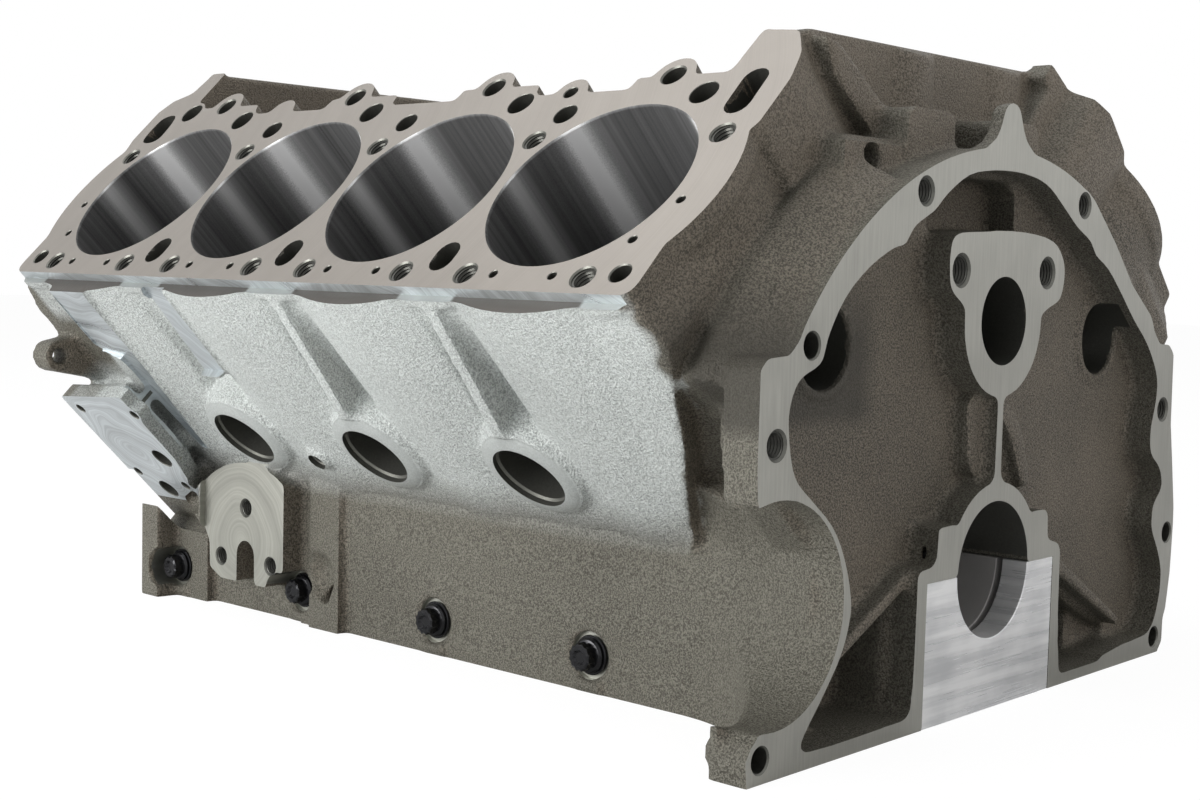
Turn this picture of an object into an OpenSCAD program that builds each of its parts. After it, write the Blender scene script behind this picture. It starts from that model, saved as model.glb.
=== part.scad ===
/* [Cylinders] */
// Distance between neighbouring bore axes of a bank
bore_pitch = 121.92; // [120:0.01:124]
// Cylinder bore diameter
bore_d = 113.66; // [106:0.01:116]
// Crank axis to deck face, measured along a bore
deck_h = 272.4; // [266:0.1:280]
// Rear face to the rear bore axis of the left bank
left_bore_y = 116.73; // [114:0.01:120]
// How far the right bank sits behind the left one
bank_stagger = 25.4; // [24:0.5:30]
// Metal between a bore and its water space
bore_wall = 6.2; // [5:0.1:7]
// Thickness of the deck plate
deck_t = 12; // [10:0.5:14]
// Outer edge of the deck plate from the bore centre line
deck_edge = 73.5; // [71:0.5:75]
// Height of the deck plate's bright edge over the flank ledges
deck_lip = 5.6; // [4:0.2:8]

/* [Deck holes] */
// Head bolt tapping diameter
head_bolt_d = 10.8; // [9:0.1:12]
// Depth of the head bolt holes
head_bolt_depth = 42; // [25:1:50]
// Half the spacing of the outer head bolts of one cylinder
head_bolt_half = 38; // [36:0.5:40]
// Row of outer head bolts from the bore centre line
head_bolt_row = 63; // [61:0.5:65]
// Water hole diameter
water_hole_d = 16; // [12:0.5:18]
// Width of the oblong water slots
slot_w = 14.6; // [10:0.2:16]
// Steam hole diameter
steam_hole_d = 4.8; // [3:0.1:6]

/* [Flank] */
// Face of the core hole rings from the bore centre line
ring_face = 85.5; // [83:0.5:88]
// Diameter of the core holes
core_hole_d = 41.28; // [36:0.1:44]
// Outside diameter of the core hole rings
ring_d = 63; // [56:0.5:68]
// Crank axis to the core holes, along the bore direction
core_hole_h = 148.2; // [144:0.2:152]
// Thickness of the flank ribs
rib_t = 6.5; // [4:0.5:9]
// Radius across a cylinder bulge
bulge_r = 126; // [110:1:150]
// Bulge crest from the bore centre line at the ledge
bulge_top = 82.2; // [80:0.2:84]
// Draft of the bulges towards the skirt, degrees
bulge_draft = 1.5; // [0.8:0.1:2]

/* [Crankcase] */
// Middle of the front main bearing to the front face
front_l = 22.25; // [20:0.25:26]
// Skirt outside from the crank plane
skirt_x = 131; // [129:0.5:135]
// Skirt wall thickness
skirt_wall = 9; // [7:0.5:11]
// Crank axis down to the pan rail
rail_z = 74; // [72:0.5:76]
// Clearance radius of the crank throws
throw_r = 116; // [110:1:119]
// Main bearing housing diameter
main_bore_d = 72.16; // [68:0.01:75]
// Camshaft axis over the crank axis
cam_z = 129.9; // [126:0.1:134]
// Camshaft housing diameter at the rear
cam_bore_d = 45.94; // [42:0.02:50]
// Lifter bore diameter
lifter_d = 22.96; // [20:0.02:24]
// Thickness of the bulkhead webs
web_t = 16; // [12:0.5:20]

/* [Main caps] */
// Width of a cap between its registers
cap_w = 130; // [126:0.5:134]
// Clearance on each side of a cap
cap_fit = 0.05; // [0.02:0.01:0.2]
// Thickness of caps one to four
cap_t = 25; // [22:0.5:28]
// Crank axis down to the cap pads
cap_h = 61; // [58:0.5:63]
// Vertical cap bolts from the crank plane
main_bolt_x = 46; // [45:0.25:48]
// Cap bolt shank diameter
main_bolt_d = 12.7; // [11:0.1:13]
// Crank axis down to the cross bolts
cross_bolt_z = 54; // [52:0.5:56]
// Cross bolt shank diameter
cross_bolt_d = 9.5; // [8:0.1:11]
// Thickness of the seal retainer
retainer_t = 15; // [12:0.5:17]
// Gap between seal retainer and rear cap
retainer_gap = 3.4; // [2:0.1:5]
// Length of the rear cap
rear_cap_l = 36; // [30:0.5:38]

/* [Rear flange] */
// Radius of the bell housing flange
flange_r = 218.5; // [216:0.5:220]
// Thickness of the flange
flange_t = 20; // [16:0.5:24]
// Thickness of the pointed lug on top of the flange
tip_t = 8; // [6:0.5:12]
// Depth of the rear face behind the flange
recess = 17; // [14:0.5:19]
// Radius of the starter motor relief
starter_r = 52; // [48:0.5:54]
// Tapping diameter of the bell housing bolt holes
bell_bolt_d = 11.2; // [9:0.1:12]
// Depth of those tapped holes
bell_bolt_depth = 18; // [14:0.5:19]
// Diameter of the plain holes and dowel holes
bell_plain_d = 12; // [10:0.1:14]

/* [Engine mounts] */
// Face of the mount pads from the crank plane
mount_x = 150; // [147:0.5:153]
// Rear face to the middle of the mount pads
mount_y = 442.8; // [440:0.2:446]
// Spacing of the two lower mount holes
mount_pitch = 50.8; // [48:0.2:54]
// Tapping diameter of the mount holes
mount_hole_d = 9.4; // [8:0.1:11]
// Face of the oil pump pad from the bore centre line
pump_face = 106; // [105:0.5:111]

/* [Hidden] */
$fn = 64;

bank_tilt = 45;
past = 1;
bore_r = bore_d / 2;
main_r = main_bore_d / 2;
left_centre_y = left_bore_y + 1.5 * bore_pitch;
right_centre_y = left_centre_y - bank_stagger;
rear_throw_y = left_bore_y - bank_stagger / 2;
bank_half = 1.5 * bore_pitch + 72.6;
bank_end_r = bore_r + 26.7;
valley_edge = 70;
pad_edge = 79;
wall_inner = valley_edge - 1;
wall_outer = deck_edge - 0.4;
wall_foot = 98;
ledge_h = deck_h - deck_lip;
jacket_foot = 140;
jacket_top = deck_h - deck_t;
jacket_r = bore_r + 18.4;
jacket_half = right_centre_y - recess - 7;
skirt_in = skirt_x - skirt_wall;
cap_half = cap_w / 2;
cap_lug_z = rail_z - 4;
cap_lug_w = 7;
rear_bulkhead_y = 57;
front_wall_t = 33;
flange_half_w = 209;
valley_floor = 168;
valley_half = 60;
end_wall_top = 271;
rear_wall_y = 50;
end_wall_t = 25;
fold_r = 34;
front_y = main_y(1) + front_l;
starter_x = flange_half_w - 19;
channel_r = 45;
channel_top_r = 15.5;
port_x = 141;
port_z = 166;
port_r = 19;
port_wall = 8;
nose_l = 53;
rail_w = 22;
rail_t = 16;
rail_hole_d = 6.6;
rail_hole_step = 30;
port_face = front_y + 16;
front_skirt_x = skirt_x + 7;
band_x = skirt_x + 7;
washer_t = 2.5;
washer_r = 10.6;
bolt_flange_r = 9.6;
bolt_flange_t = 3;
bolt_head_r = 7.6;
bolt_head_t = 6.5;
main_bolt_l = 90;
thread_clear = 0.15;
cross_washer_r = 10.8;
spot_r = 13;
spot_depth = 3;
retainer_bolt_d = 7.9;
retainer_bolt_x = 52;

// Main bearing number k, counted from the front, 5 at the rear
function main_y(k) = rear_throw_y + bore_pitch * (4.5 - k);

// Closed smooth curve through the given points
function spline(p, n = 4) = [
    for (i = [0 : len(p) - 1], s = [0 : n - 1])
        let (
            a = p[(i + len(p) - 1) % len(p)],
            b = p[i],
            c = p[(i + 1) % len(p)],
            d = p[(i + 2) % len(p)],
            t = s / n
        )
        0.5 * (2 * b + (c - a) * t + (2 * a - 5 * b + 4 * c - d) * t * t
            + (3 * b - a - 3 * c + d) * t * t * t)
];

// Points on an arc from angle a0 to a1
function arc(cx, cy, r, a0, a1, n = 8) = [
    for (i = [0 : n]) [cx + r * cos(a0 + (a1 - a0) * i / n), cy + r * sin(a0 + (a1 - a0) * i / n)]
];

// Bank frame: x across towards the valley, y along the bank, z along the bores.
// The right bank is the left one turned round, so the same head fits both.
module on_bank(side) {
    if (side < 0) {
        translate([0, left_centre_y, 0]) rotate([0, -bank_tilt, 0]) children();
    } else {
        translate([0, right_centre_y, 0]) rotate([0, bank_tilt, 0]) rotate([0, 0, 180]) children();
    }
}

// Stand a drawing in the rear view plane and push it forward from y0 to y1
module rear_view(y0, y1) {
    translate([0, y1, 0]) rotate([90, 0, 0]) linear_extrude(y1 - y0) children();
}

// Stand a drawing in the left side view (x = y axis, y = z axis) from x0 to x1
module side_view(x0, x1) {
    translate([x0, 0, 0]) rotate([90, 0, 90]) linear_extrude(x1 - x0) children();
}

module rounded_box(x0, x1, y0, y1, r) {
    for (x = [x0 + r, x1 - r], y = [y0 + r, y1 - r]) translate([x, y]) circle(r);
    translate([x0 + r, y0]) square([x1 - x0 - 2 * r, y1 - y0]);
    translate([x0, y0 + r]) square([x1 - x0, y1 - y0 - 2 * r]);
}

module slot(x0, x1, w) {
    rounded_box(x0, x1, -w / 2, w / 2, w / 2 - 0.2);
}

// Cylinder positions along a bank
function cyl_t(i) = (i - 1.5) * bore_pitch;

// Inner head bolt bosses, one close to each cylinder
inner_bolt_v = 79.6;
inner_bolt_t = [-1.5 * bore_pitch - 3.2, -0.5 * bore_pitch + 2.4, 0.5 * bore_pitch - 2.4, 1.5 * bore_pitch + 3.2];
inner_boss_r = 13;
// Valley water holes, one on each stretch of wide deck
water_v = 64.2;
water_t = [-214.6, -90, 31.2, 154.6];
stretch_t = [-193, -65, 49.4, 180.4];
stretch_half = 30;
small_boss_r = 10.5;

module end_lobes() {
    polygon([
        [38, -bank_half - 6], [71, -bank_half - 7], [90, -bank_half - 3],
        [107, -bank_half + 7], [111, -bank_half + 31], [pad_edge, -bank_half + 33], [38, -bank_half + 40]
    ]);
    polygon([
        [38, bank_half - 40], [pad_edge, bank_half - 33], [116, bank_half - 33], [116, bank_half - 19],
        [96, bank_half - 15], [89, bank_half - 1], [78, bank_half + 5], [50, bank_half + 5], [38, bank_half + 1]
    ]);
}

module deck_outline() {
    rounded_box(-deck_edge, valley_edge, -bank_half, bank_half, 7);
    for (s = [-1, 1]) intersection() {
        translate([0, s * 1.5 * bore_pitch]) circle(bank_end_r, $fn = 128);
        translate([-deck_edge, -bank_half - 20]) square([deck_edge + valley_edge, 2 * bank_half + 40]);
    }
    for (t = stretch_t) translate([30, t - stretch_half]) square([pad_edge - 30, 2 * stretch_half]);
    for (t = inner_bolt_t) translate([inner_bolt_v, t]) circle(inner_boss_r);
    for (s = [-1, 1]) translate([valley_edge + 1, s * bore_pitch]) circle(small_boss_r);
    end_lobes();
}

// Side wall of a bank: hollow under the deck edge, full again below the core holes
module bank_wall() {
    translate([0, bank_half - 1.5, 0]) rotate([90, 0, 0]) linear_extrude(2 * bank_half - 3) polygon([
        [wall_inner, wall_foot], [wall_inner, jacket_top + past], [-wall_outer, jacket_top + past],
        [-wall_outer, jacket_top - 5], [-66.5, 196], [-66.5, 168], [-82, 128], [-84.5, 108], [-82, wall_foot]
    ]);
    translate([0, 0, wall_foot]) linear_extrude(jacket_top + past - wall_foot) for (s = [-1, 1]) intersection() {
        translate([0, s * 1.5 * bore_pitch]) circle(bank_end_r - 2, $fn = 128);
        translate([-66, -bank_half - 20]) square([66 + wall_inner, 2 * bank_half + 40]);
    }
}

// One cylinder bulge: a drafted pad with a gently round face, milled off at the ledge
module bulge(t) {
    translate([0, t, 0]) intersection() {
        translate([bulge_r - bulge_top, 0, ledge_h]) rotate([0, bulge_draft, 0])
            translate([0, 0, -240]) cylinder(r = bulge_r, h = 260, $fn = 180);
        translate([0, 0, wall_foot]) linear_extrude(ledge_h - wall_foot)
            polygon([[-40, -54], [-66, -49], [-92, -34], [-92, 34], [-66, 49], [-40, 54]]);
    }
}

// The flank runs on flat from an end bulge to the corner of the bank
module flank_end(s) {
    intersection() {
        translate([0, s * (1.5 * bore_pitch + 42) + 42, 0]) rotate([90, 0, 0]) linear_extrude(84) polygon([
            [-12, 190], [-50, wall_foot], [-83, 106], [-83, 150], [-75.5, jacket_top + past], [-12, jacket_top + past]
        ]);
        translate([-100, 0, 0]) rotate([90, 0, 90]) linear_extrude(100) polygon([
            [s * 1.5 * bore_pitch, wall_foot - past], [s * (bank_half - 4), wall_foot - past],
            [s * (bank_half + 7), 236], [s * (bank_half + 7), 243], [s * (bank_half - 1), jacket_top + 2],
            [s * 1.5 * bore_pitch, jacket_top + 2]
        ]);
    }
}

// Raised ring round a core hole, square to the flank
module core_ring(t) {
    translate([-ring_face, t, core_hole_h]) rotate([0, 90, 0])
        cylinder(r1 = ring_d / 2, r2 = ring_d / 2 + 5, h = 24);
}

// Thin rib from the deck edge down to a ring
module flank_rib(t) {
    translate([0, t + rib_t / 2, 0]) rotate([90, 0, 0]) linear_extrude(rib_t) polygon([
        [-60, deck_h - 5], [-deck_edge - 0.5, deck_h - 5], [-ring_face, core_hole_h + 34],
        [-ring_face, core_hole_h], [-60, core_hole_h]
    ]);
}

module bank_solid(side) {
    on_bank(side) {
        translate([0, 0, jacket_top]) linear_extrude(deck_t) deck_outline();
        difference() {
            union() {
                bank_wall();
                for (i = [0 : 3]) bulge(cyl_t(i));
                for (s = [-1, 1]) flank_end(s);
            }
            translate([-130, 0, 0]) rotate([90, 0, 90]) linear_extrude(80) polygon([
                [-bank_half - 20, 258], [-bank_half - 7, 242], [-bank_half - 5, 234], [-bank_half + 4, 215], [-bank_half + 16, 180],
                [-bank_half + 30, 150], [-bank_half + 44, 120], [-bank_half + 48, 90], [-bank_half - 40, 90],
                [-bank_half - 40, 258]
            ]);
        }
        for (s = [-1, 0, 1]) core_ring(s * bore_pitch);
        for (s = side < 0 ? [-1, 0] : [-1, 0, 1]) flank_rib(s * bore_pitch);
        for (t = inner_bolt_t) translate([inner_bolt_v, t, deck_h - 78])
            cylinder(r = inner_boss_r, h = 78 - past);
        for (s = [-1, 1]) translate([valley_edge + 1, s * bore_pitch, deck_h - 66])
            cylinder(r = small_boss_r, h = 66 - past);
        for (t = stretch_t) translate([30, t - stretch_half + 1, deck_h - 40])
            cube([pad_edge - 31, 2 * stretch_half - 2, 40 - past]);
        translate([0, 0, 202]) linear_extrude(deck_h - past - 202) intersection() {
            end_lobes();
            translate([30, -bank_half - 20]) square([79, 2 * bank_half + 40]);
        }
    }
}

// Water space round the four joined cylinder walls of a bank
module water_space(side) {
    on_bank(side) {
        translate([0, 0, jacket_foot]) linear_extrude(jacket_top - jacket_foot) difference() {
            intersection() {
                for (i = [0 : 3]) translate([0, cyl_t(i)]) circle(jacket_r);
                translate([-jacket_r, -jacket_half]) square([jacket_r + wall_inner - 4.5, 2 * jacket_half]);
            }
            for (i = [0 : 3]) translate([0, cyl_t(i)]) circle(bore_r + bore_wall);
        }
        for (s = [-1, 0, 1]) translate([-ring_face - past, s * bore_pitch, core_hole_h]) rotate([0, 90, 0])
            cylinder(d = core_hole_d, h = 44);
    }
}

module bank_bores(side) {
    on_bank(side) for (i = [0 : 3]) translate([0, cyl_t(i), 70])
        cylinder(r = bore_r, h = deck_h - 70 + past, $fn = 180);
}

// Holes of one deck, in the bank frame
module deck_holes(side) {
    on_bank(side) {
        for (i = [0 : 3], s = [-1, 1]) translate([-head_bolt_row, cyl_t(i) + s * head_bolt_half, deck_h - head_bolt_depth])
            cylinder(d = head_bolt_d, h = head_bolt_depth + past);
        for (i = [0 : 3], s = [-1, 1]) translate([-head_bolt_row, cyl_t(i) + s * head_bolt_half / 2, deck_h - 15])
            cylinder(d = steam_hole_d, h = 15 + past);
        for (i = [-2 : 2]) translate([33.5, i * bore_pitch, deck_h - head_bolt_depth])
            cylinder(d = head_bolt_d, h = head_bolt_depth + past);
        for (t = inner_bolt_t) translate([inner_bolt_v, t, deck_h - head_bolt_depth])
            cylinder(d = head_bolt_d + 2.6, h = head_bolt_depth + past);
        translate([valley_edge + 0.8, -bore_pitch, deck_h - 24]) cylinder(d = 8.4, h = 24 + past);
        for (t = water_t) translate([water_v, t, deck_h - deck_t - 6]) cylinder(d = water_hole_d, h = deck_t + 6 + past);
        translate([75, 219.2, deck_h - deck_t - 6]) cylinder(d = water_hole_d, h = deck_t + 6 + past);
        for (i = [-1 : 1]) translate([53.1, i * bore_pitch - 8.3, deck_h - deck_t - 4])
            cylinder(d = water_hole_d - 2, h = deck_t + 4 + past);
        for (i = [-1 : 1]) translate([-52, i * bore_pitch, deck_h - deck_t - 4]) linear_extrude(deck_t + 4 + past)
            slot(-10, 10, slot_w);
        translate([63.5, -bank_half + 14.7, deck_h - deck_t - 6]) linear_extrude(deck_t + 6 + past)
            slot(-16.5, 16.5, slot_w);
        translate([59.5, bank_half - 15.5, deck_h - deck_t - 6]) linear_extrude(deck_t + 6 + past)
            polygon(spline([[-13, 0], [-9, 8], [8, 9], [13.5, 4], [13.5, -4], [6, -8], [-9, -9]]));
        for (s = [-1, 1]) {
            translate([-12.4, s * (bank_half - 8.7), deck_h - 15]) cylinder(d = steam_hole_d, h = 15 + past);
            translate([-38.6, s * (bank_half - 20.7), deck_h - 15]) cylinder(d = steam_hole_d, h = 15 + past);
            translate([-60, s * (bank_half - 14.2), deck_h - 18]) cylinder(d = 11, h = 18 + past);
        }
    }
}

// Section through crankcase and valley floor
module case_section() {
    polygon([
        [-skirt_x, -rail_z], [-skirt_x - 3, 10], [-skirt_x, 20], [-110, 44], [-valley_half - 12, 106],
        [-valley_half, valley_floor - 4], [-54, valley_floor], [-28, valley_floor + 21], [-22, valley_floor + 18],
        [-18, valley_floor - 8], [18, valley_floor - 8], [22, valley_floor + 18], [28, valley_floor + 21],
        [54, valley_floor], [valley_half, valley_floor - 4], [valley_half + 12, 106],
        [110, 44], [skirt_x, 20], [skirt_x + 3, 10], [skirt_x, -rail_z]
    ]);
}

module bay_section() {
    translate([-skirt_in, -rail_z - past]) square([2 * skirt_in, rail_z + past + 13]);
    circle(throw_r, $fn = 128);
}

// Open bays between the bulkheads
module crank_bays() {
    for (k = [1 : 4]) {
        y0 = k == 4 ? rear_bulkhead_y : main_y(k + 1) + web_t / 2;
        y1 = k == 1 ? front_y - front_wall_t : main_y(k) - web_t / 2;
        rear_view(y0, y1) bay_section();
    }
}

// Bearing saddle, bolt columns and cross bolt legs of one bulkhead
module saddle(k) {
    yc = main_y(k);
    rear_view(yc - cap_t / 2 - 1, yc + cap_t / 2 + 1) {
        intersection() {
            circle(main_r + 22, $fn = 96);
            translate([-100, -past]) square([200, 100]);
        }
        translate([-main_bolt_x - 12, -past]) square([2 * main_bolt_x + 24, 42]);
        for (s = [-1, 1]) translate([s * (cap_half + skirt_in + 2) / 2, -rail_z / 2 + 5])
            square([skirt_in + 2 - cap_half, rail_z + 8], center = true);
    }
}

module cap_channel() {
    translate([-cap_half, -past, -rail_z - past]) cube([cap_w, front_y + 20, rail_z + past]);
}

// Rear tower round the main bearing opening, seen from behind
module tower_outline() {
    polygon(concat(
        [[-75, -rail_z], [-74, 4], [-72, 7], [-60, 8], [-57, 12], [-56, 27], [-42, 27.5]],
        arc(0, 0, 46, 146, 98, 8),
        [[-3, 49], [-2.5, 100], [3, 100], [3.5, 49]],
        arc(0, 0, 46, 82, 34, 8),
        [[42, 27.5], [54, 27], [57, 24], [58, 10], [70, 7], [73, 3], [75, -rail_z]]
    ));
}

module cam_plate_outline() {
    translate([0, cam_z]) circle(39.5, $fn = 96);
    polygon(spline([
        [-56, 160], [-54, 170], [-46, 174], [-20, 175.5], [0, 176.5], [30, 175.5], [50, 172], [60, 165],
        [64, 155], [60, 142], [48, 137], [30, 132], [-30, 134], [-44, 140], [-54, 147]
    ], 3));
}

// Inside edge of the machined bell housing flange
module flange_inside() {
    polygon(spline([
        [-132, 0], [-139, 21], [-150, 37], [-168, 51], [-180, 61], [-185, 76], [-186, 92], [-179, 105],
        [-163, 112], [-158, 124], [-146, 141], [-128, 155], [-107, 165], [-97, 167], [-89, 176], [-72, 184],
        [-60, 193], [-40, 203], [-15, 206.5], [15, 206.5], [40, 202], [60, 191], [76, 181], [92, 174],
        [100, 166], [115, 159], [131, 147], [151, 130], [171, 115], [186, 96], [186, 80], [181, 64],
        [183, 50], [196, 40], [200, 28], [190, 18], [189, 4], [198, -9], [205, -24], [203, -43],
        [193, -59], [170, -62], [136, -63], [124, -68], [86, -69.5], [78, -66], [75, -50], [60, -20],
        [-60, -20], [-75, -50], [-78, -64], [-100, -66], [-164, -66], [-168, -60], [-156, -46],
        [-141, -28], [-134, -14]
    ], 3));
}

// Outside edge of the flange with its two ears, its feet and the locating tip
module flange_outside() {
    difference() {
        union() {
            intersection() {
                circle(flange_r, $fn = 180);
                translate([-178, 60]) square([356, 200]);
            }
            polygon([
                [-flange_half_w, -rail_z], [-flange_half_w - 1, -62], [-flange_half_w + 3, -55.5], [-202, -54],
                [-196, 30], [-200, 44], [-207, 51], [-208, 66], [-208, 110], [-203, 115], [-187, 116],
                [-170, 132], [0, 150], [172, 130], [188, 115], [201, 114.5], [208, 109], [209, 66], [214, 41],
                [219, 14], [219.5, 4], [218, -27], [214, -49], [211, -53], [211, -68], [205, -rail_z]
            ]);
        }
        translate([-starter_x, 0]) circle(starter_r, $fn = 128);
        polygon([[70, 209.5], [96, 240], [200, 160], [176, 130.5], [147, 150], [123, 173.5], [94, 197.5]]);
    }
}

// Pointed lug on top of the flange
module flange_tip() {
    polygon(concat([[-27, 210], [-24, 217.8], [-15, 223], [-11, 229]],
        arc(0.5, 232.5, 9.5, 165, 15, 8), [[12, 229], [16, 223], [25, 217.2], [28, 210]]));
}

// Starter motor relief, a round scoop that flares forward into the skirt
module starter_scoop() {
    flare = 400;
    translate([-starter_x, -past, 0]) rotate([-90, 0, 0]) rotate_extrude($fn = 128) polygon(concat(
        [[0, 0], [starter_r, 0]],
        [for (y = [6 : 8 : 94]) [starter_r + flare - sqrt(flare * flare - y * y), y]],
        [[0, 94]]
    ));
}

// Corner that spreads from the skirt out to a foot of the flange
module rear_corner(s) {
    reach = flange_half_w - skirt_x;
    translate([0, 0, -rail_z]) linear_extrude(rail_z + 48) polygon([
        for (p = concat(
            [[skirt_x - 12, recess], [flange_half_w, recess], [flange_half_w, flange_t + 2]],
            [for (a = [80 : -10 : 10]) [flange_half_w - reach * cos(a), flange_t + 2 + reach * (1 - sin(a))]],
            [[skirt_x, flange_t + 2 + reach], [skirt_x - 12, flange_t + 2 + reach]]
        )) [s * p[0], p[1]]
    ]);
}

// Pockets between the diagonal ribs, the tower and the rail
module rear_pockets() {
    rear_view(-past, 45) polygon([
        [-131, -27], [-79, 1], [-77, -3], [-78, -61], [-83, -66], [-131, -66]
    ]);
    rear_view(-past, recess + 5) polygon([[-140, -33], [-125, -24], [-125, -66], [-162, -66], [-166, -61], [-156, -48]]);
    rear_view(-past, 45) polygon([
        [76, -12], [79, -16], [131, -42], [131, -65], [122, -68], [84, -69], [77, -62]
    ]);
    rear_view(-past, recess + 8) polygon([[125, -39], [150, -51], [168, -56], [160, -62], [125, -66]]);
}

// Drafted collar that joins the round flange to the end of a bank
module flange_collar(s) {
    intersection() {
        rotate([-90, 0, 0]) rotate_extrude($fn = 180) polygon([
            [flange_r - 8, 4], [flange_r - 0.5, 4], [flange_r + 10, 17], [flange_r + 17.5, 28],
            [flange_r + 19, 33], [flange_r + 14, 44], [flange_r + 13, 62], [190, 62], [190, recess], [flange_r - 8, recess]
        ]);
        rear_view(-past, 70) polygon([[0, 0], [s * 120, 250], [s * 260, 250], [s * 260, 128]]);
    }
}

// Leaning round channel between a flange ear and the corner of the flank
module ear_channel() {
    translate([-190, 50, 48]) rotate([0, 37, -144]) translate([0, 0, -27])
        cylinder(r1 = channel_r, r2 = channel_top_r, h = 115, $fn = 96);
}

// Wall that leans out from the skirt to a flange ear, hollowed by the channel
module ear_web(s) {
    mirror([s > 0 ? 1 : 0, 0, 0]) difference() {
        hull() {
            translate([0, 0, 111]) linear_extrude(0.5)
                polygon([[-150, recess + 1], [-204, recess + 1], [-212, 44], [-206, 60], [-150, 72]]);
            translate([0, 0, 8]) linear_extrude(0.5)
                polygon([[3 - skirt_x, recess + 1], [-skirt_x - 2, recess + 1], [-skirt_x - 2, 96], [3 - skirt_x, 100]]);
        }
        ear_channel();
    }
}

// Everything behind the crankcase: flange, recessed wall, collars and corners
module rear_end() {
    difference() {
        union() {
            rear_view(0, flange_t) flange_outside();
            rear_view(0, tip_t) flange_tip();
            for (s = [-1, 1]) {
                rear_corner(s);
                ear_web(s);
            }
        }
        starter_scoop();
    }
    rear_view(recess, 40) intersection() {
        circle(flange_r - 9, $fn = 180);
        polygon([
            [-140, -30], [-140, 20], [-172, 48], [-183, 62], [-187, 95], [-176, 112], [-190, 116],
            [-220, 250], [220, 250], [190, 116], [187, 60], [200, 40], [205, -30], [190, -62],
            [70, -rail_z], [-70, -rail_z]
        ]);
    }
    rear_view(recess, 52) intersection() {
        circle(flange_r - 6, $fn = 180);
        translate([-110, 60]) square([220, 200]);
    }
    for (s = [-1, 1]) flange_collar(s);
    translate([-118, 22, 150]) cube([222, 40, 66]);
    for (s = [-1, 1]) rear_view(flange_t, rear_wall_y + 2) mirror([s > 0 ? 1 : 0, 0])
        rounded_box(-66, -21.5, 196, 236, 6);
    for (s = [-1, 1]) rear_view(27, rear_wall_y + 2) mirror([s > 0 ? 1 : 0, 0])
        rounded_box(-116, -42, 186, 219.5, 9);
    rear_view(39, rear_wall_y + 4) polygon([[-112, 267], [-99, 264], [-36, 223], [-34, 212], [-54, 212], [-104, 248]]);
    intersection() {
        for (x = [-16, 78]) translate([x, rear_wall_y + fold_r - 6, 206]) cylinder(r = fold_r, h = 62);
        translate([-70, rear_wall_y - 8, 204]) cube([170, 20, 66]);
    }
}

// Hollows cut into the rear of the casting
module rear_hollows() {
    rear_view(-past, recess) flange_inside();
    rear_view(-past, recess + 19) polygon([[-50, 150], [-50, 199], [-34, 203], [28, 203], [38, 196], [38, 150]]);
    rear_pockets();
}

// Raised details inside the flange
module rear_details() {
    difference() {
        union() {
            for (s = [-1, 1]) translate([s * 138.4, recess - 2.6, 118.3]) rotate([-90, 0, 0]) cylinder(r = 24.5, h = 24);
            rear_view(5, 40) polygon([[74, 2], [74, -8], [160, -52], [163, -48]]);
            rear_view(5, 40) polygon([[-72, 8], [-72, 0], [-134, -31], [-134, -24]]);
            rear_view(9, 40) polygon(spline([[4, 92], [10, 86], [30, 66], [44, 40], [52, 42], [46, 62], [34, 80], [10, 94]], 3));
            rear_view(7, 40) polygon(spline([[-4, 90], [-12, 92], [-20, 86], [-18, 60], [-12, 50], [-4, 52]], 3));
        }
        starter_scoop();
    }
    rear_view(0, 40) cam_plate_outline();
    rear_view(0, rear_bulkhead_y) tower_outline();
    for (s = [-1, 1]) translate([s > 0 ? 64 : -204, 0, -rail_z]) cube([140, 24, 6]);
}

// Cross walls that close the valley at both ends
module valley_ends() {
    rear_view(rear_wall_y, rear_wall_y + end_wall_t)
        polygon([[-50, 150], [-114, end_wall_top - 1.5], [-106, end_wall_top], [106, end_wall_top],
            [114, end_wall_top - 1.5], [50, 150]]);
    rear_view(left_centre_y + bank_half - 33, left_centre_y + bank_half - 16)
        polygon([[-50, 150], [-111, end_wall_top + 2], [111, end_wall_top + 2], [50, 150]]);
}

module lifter_bosses() {
    for (k = [0 : 3], j = [-1, 1], s = [-1, 1])
        translate([0, rear_throw_y + bore_pitch * k + s * bank_stagger / 2 * -1 + j * 20, cam_z])
            rotate([0, s * 40, 0]) translate([0, 0, 30]) cylinder(d = lifter_d + 11, h = 36);
}

module lifter_bores() {
    for (k = [0 : 3], j = [-1, 1], s = [-1, 1])
        translate([0, rear_throw_y + bore_pitch * k + s * bank_stagger / 2 * -1 + j * 20, cam_z])
            rotate([0, s * 40, 0]) cylinder(d = lifter_d, h = 70);
}

// Half-round mount pad with two lobes at its foot, in the side view
module mount_outline() {
    y = mount_y;
    difference() {
        polygon(concat(
            [[y - 38.4, -40], [y - 38.4, 14]],
            arc(y - 0.8, -47.7, 72, 121, 35, 12),
            [[y + 45, -18], [y + 38, -30], [y + 37.5, -46], [y + 26, -52], [y - 26, -52]]
        ));
        translate([y, -34]) circle(9);
        translate([y - 9, -60]) square([18, 26]);
    }
}

module mount_pads() {
    nose = front_y - nose_l;
    for (s = [-1, 1]) mirror([s > 0 ? 1 : 0, 0, 0]) {
        side_view(-mount_x, -skirt_x + 4) mount_outline();
        side_view(-band_x, -skirt_x + 4) polygon([
            [366, -rail_z], [366, 14], [372, 22], [394, 22], [395, -rail_z]
        ]);
        side_view(-skirt_x - 3, -skirt_x + 4) polygon([
            [394, -rail_z], [394, 20], [406, 16], [406, -rail_z]
        ]);
        side_view(-front_skirt_x, -skirt_x + 4) polygon([
            [nose, -rail_z], [nose, -34], [nose - 5, -14], [nose - 14, 2], [nose - 8, 14],
            [front_y, 14], [front_y, -rail_z]
        ]);
    }
}

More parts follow.
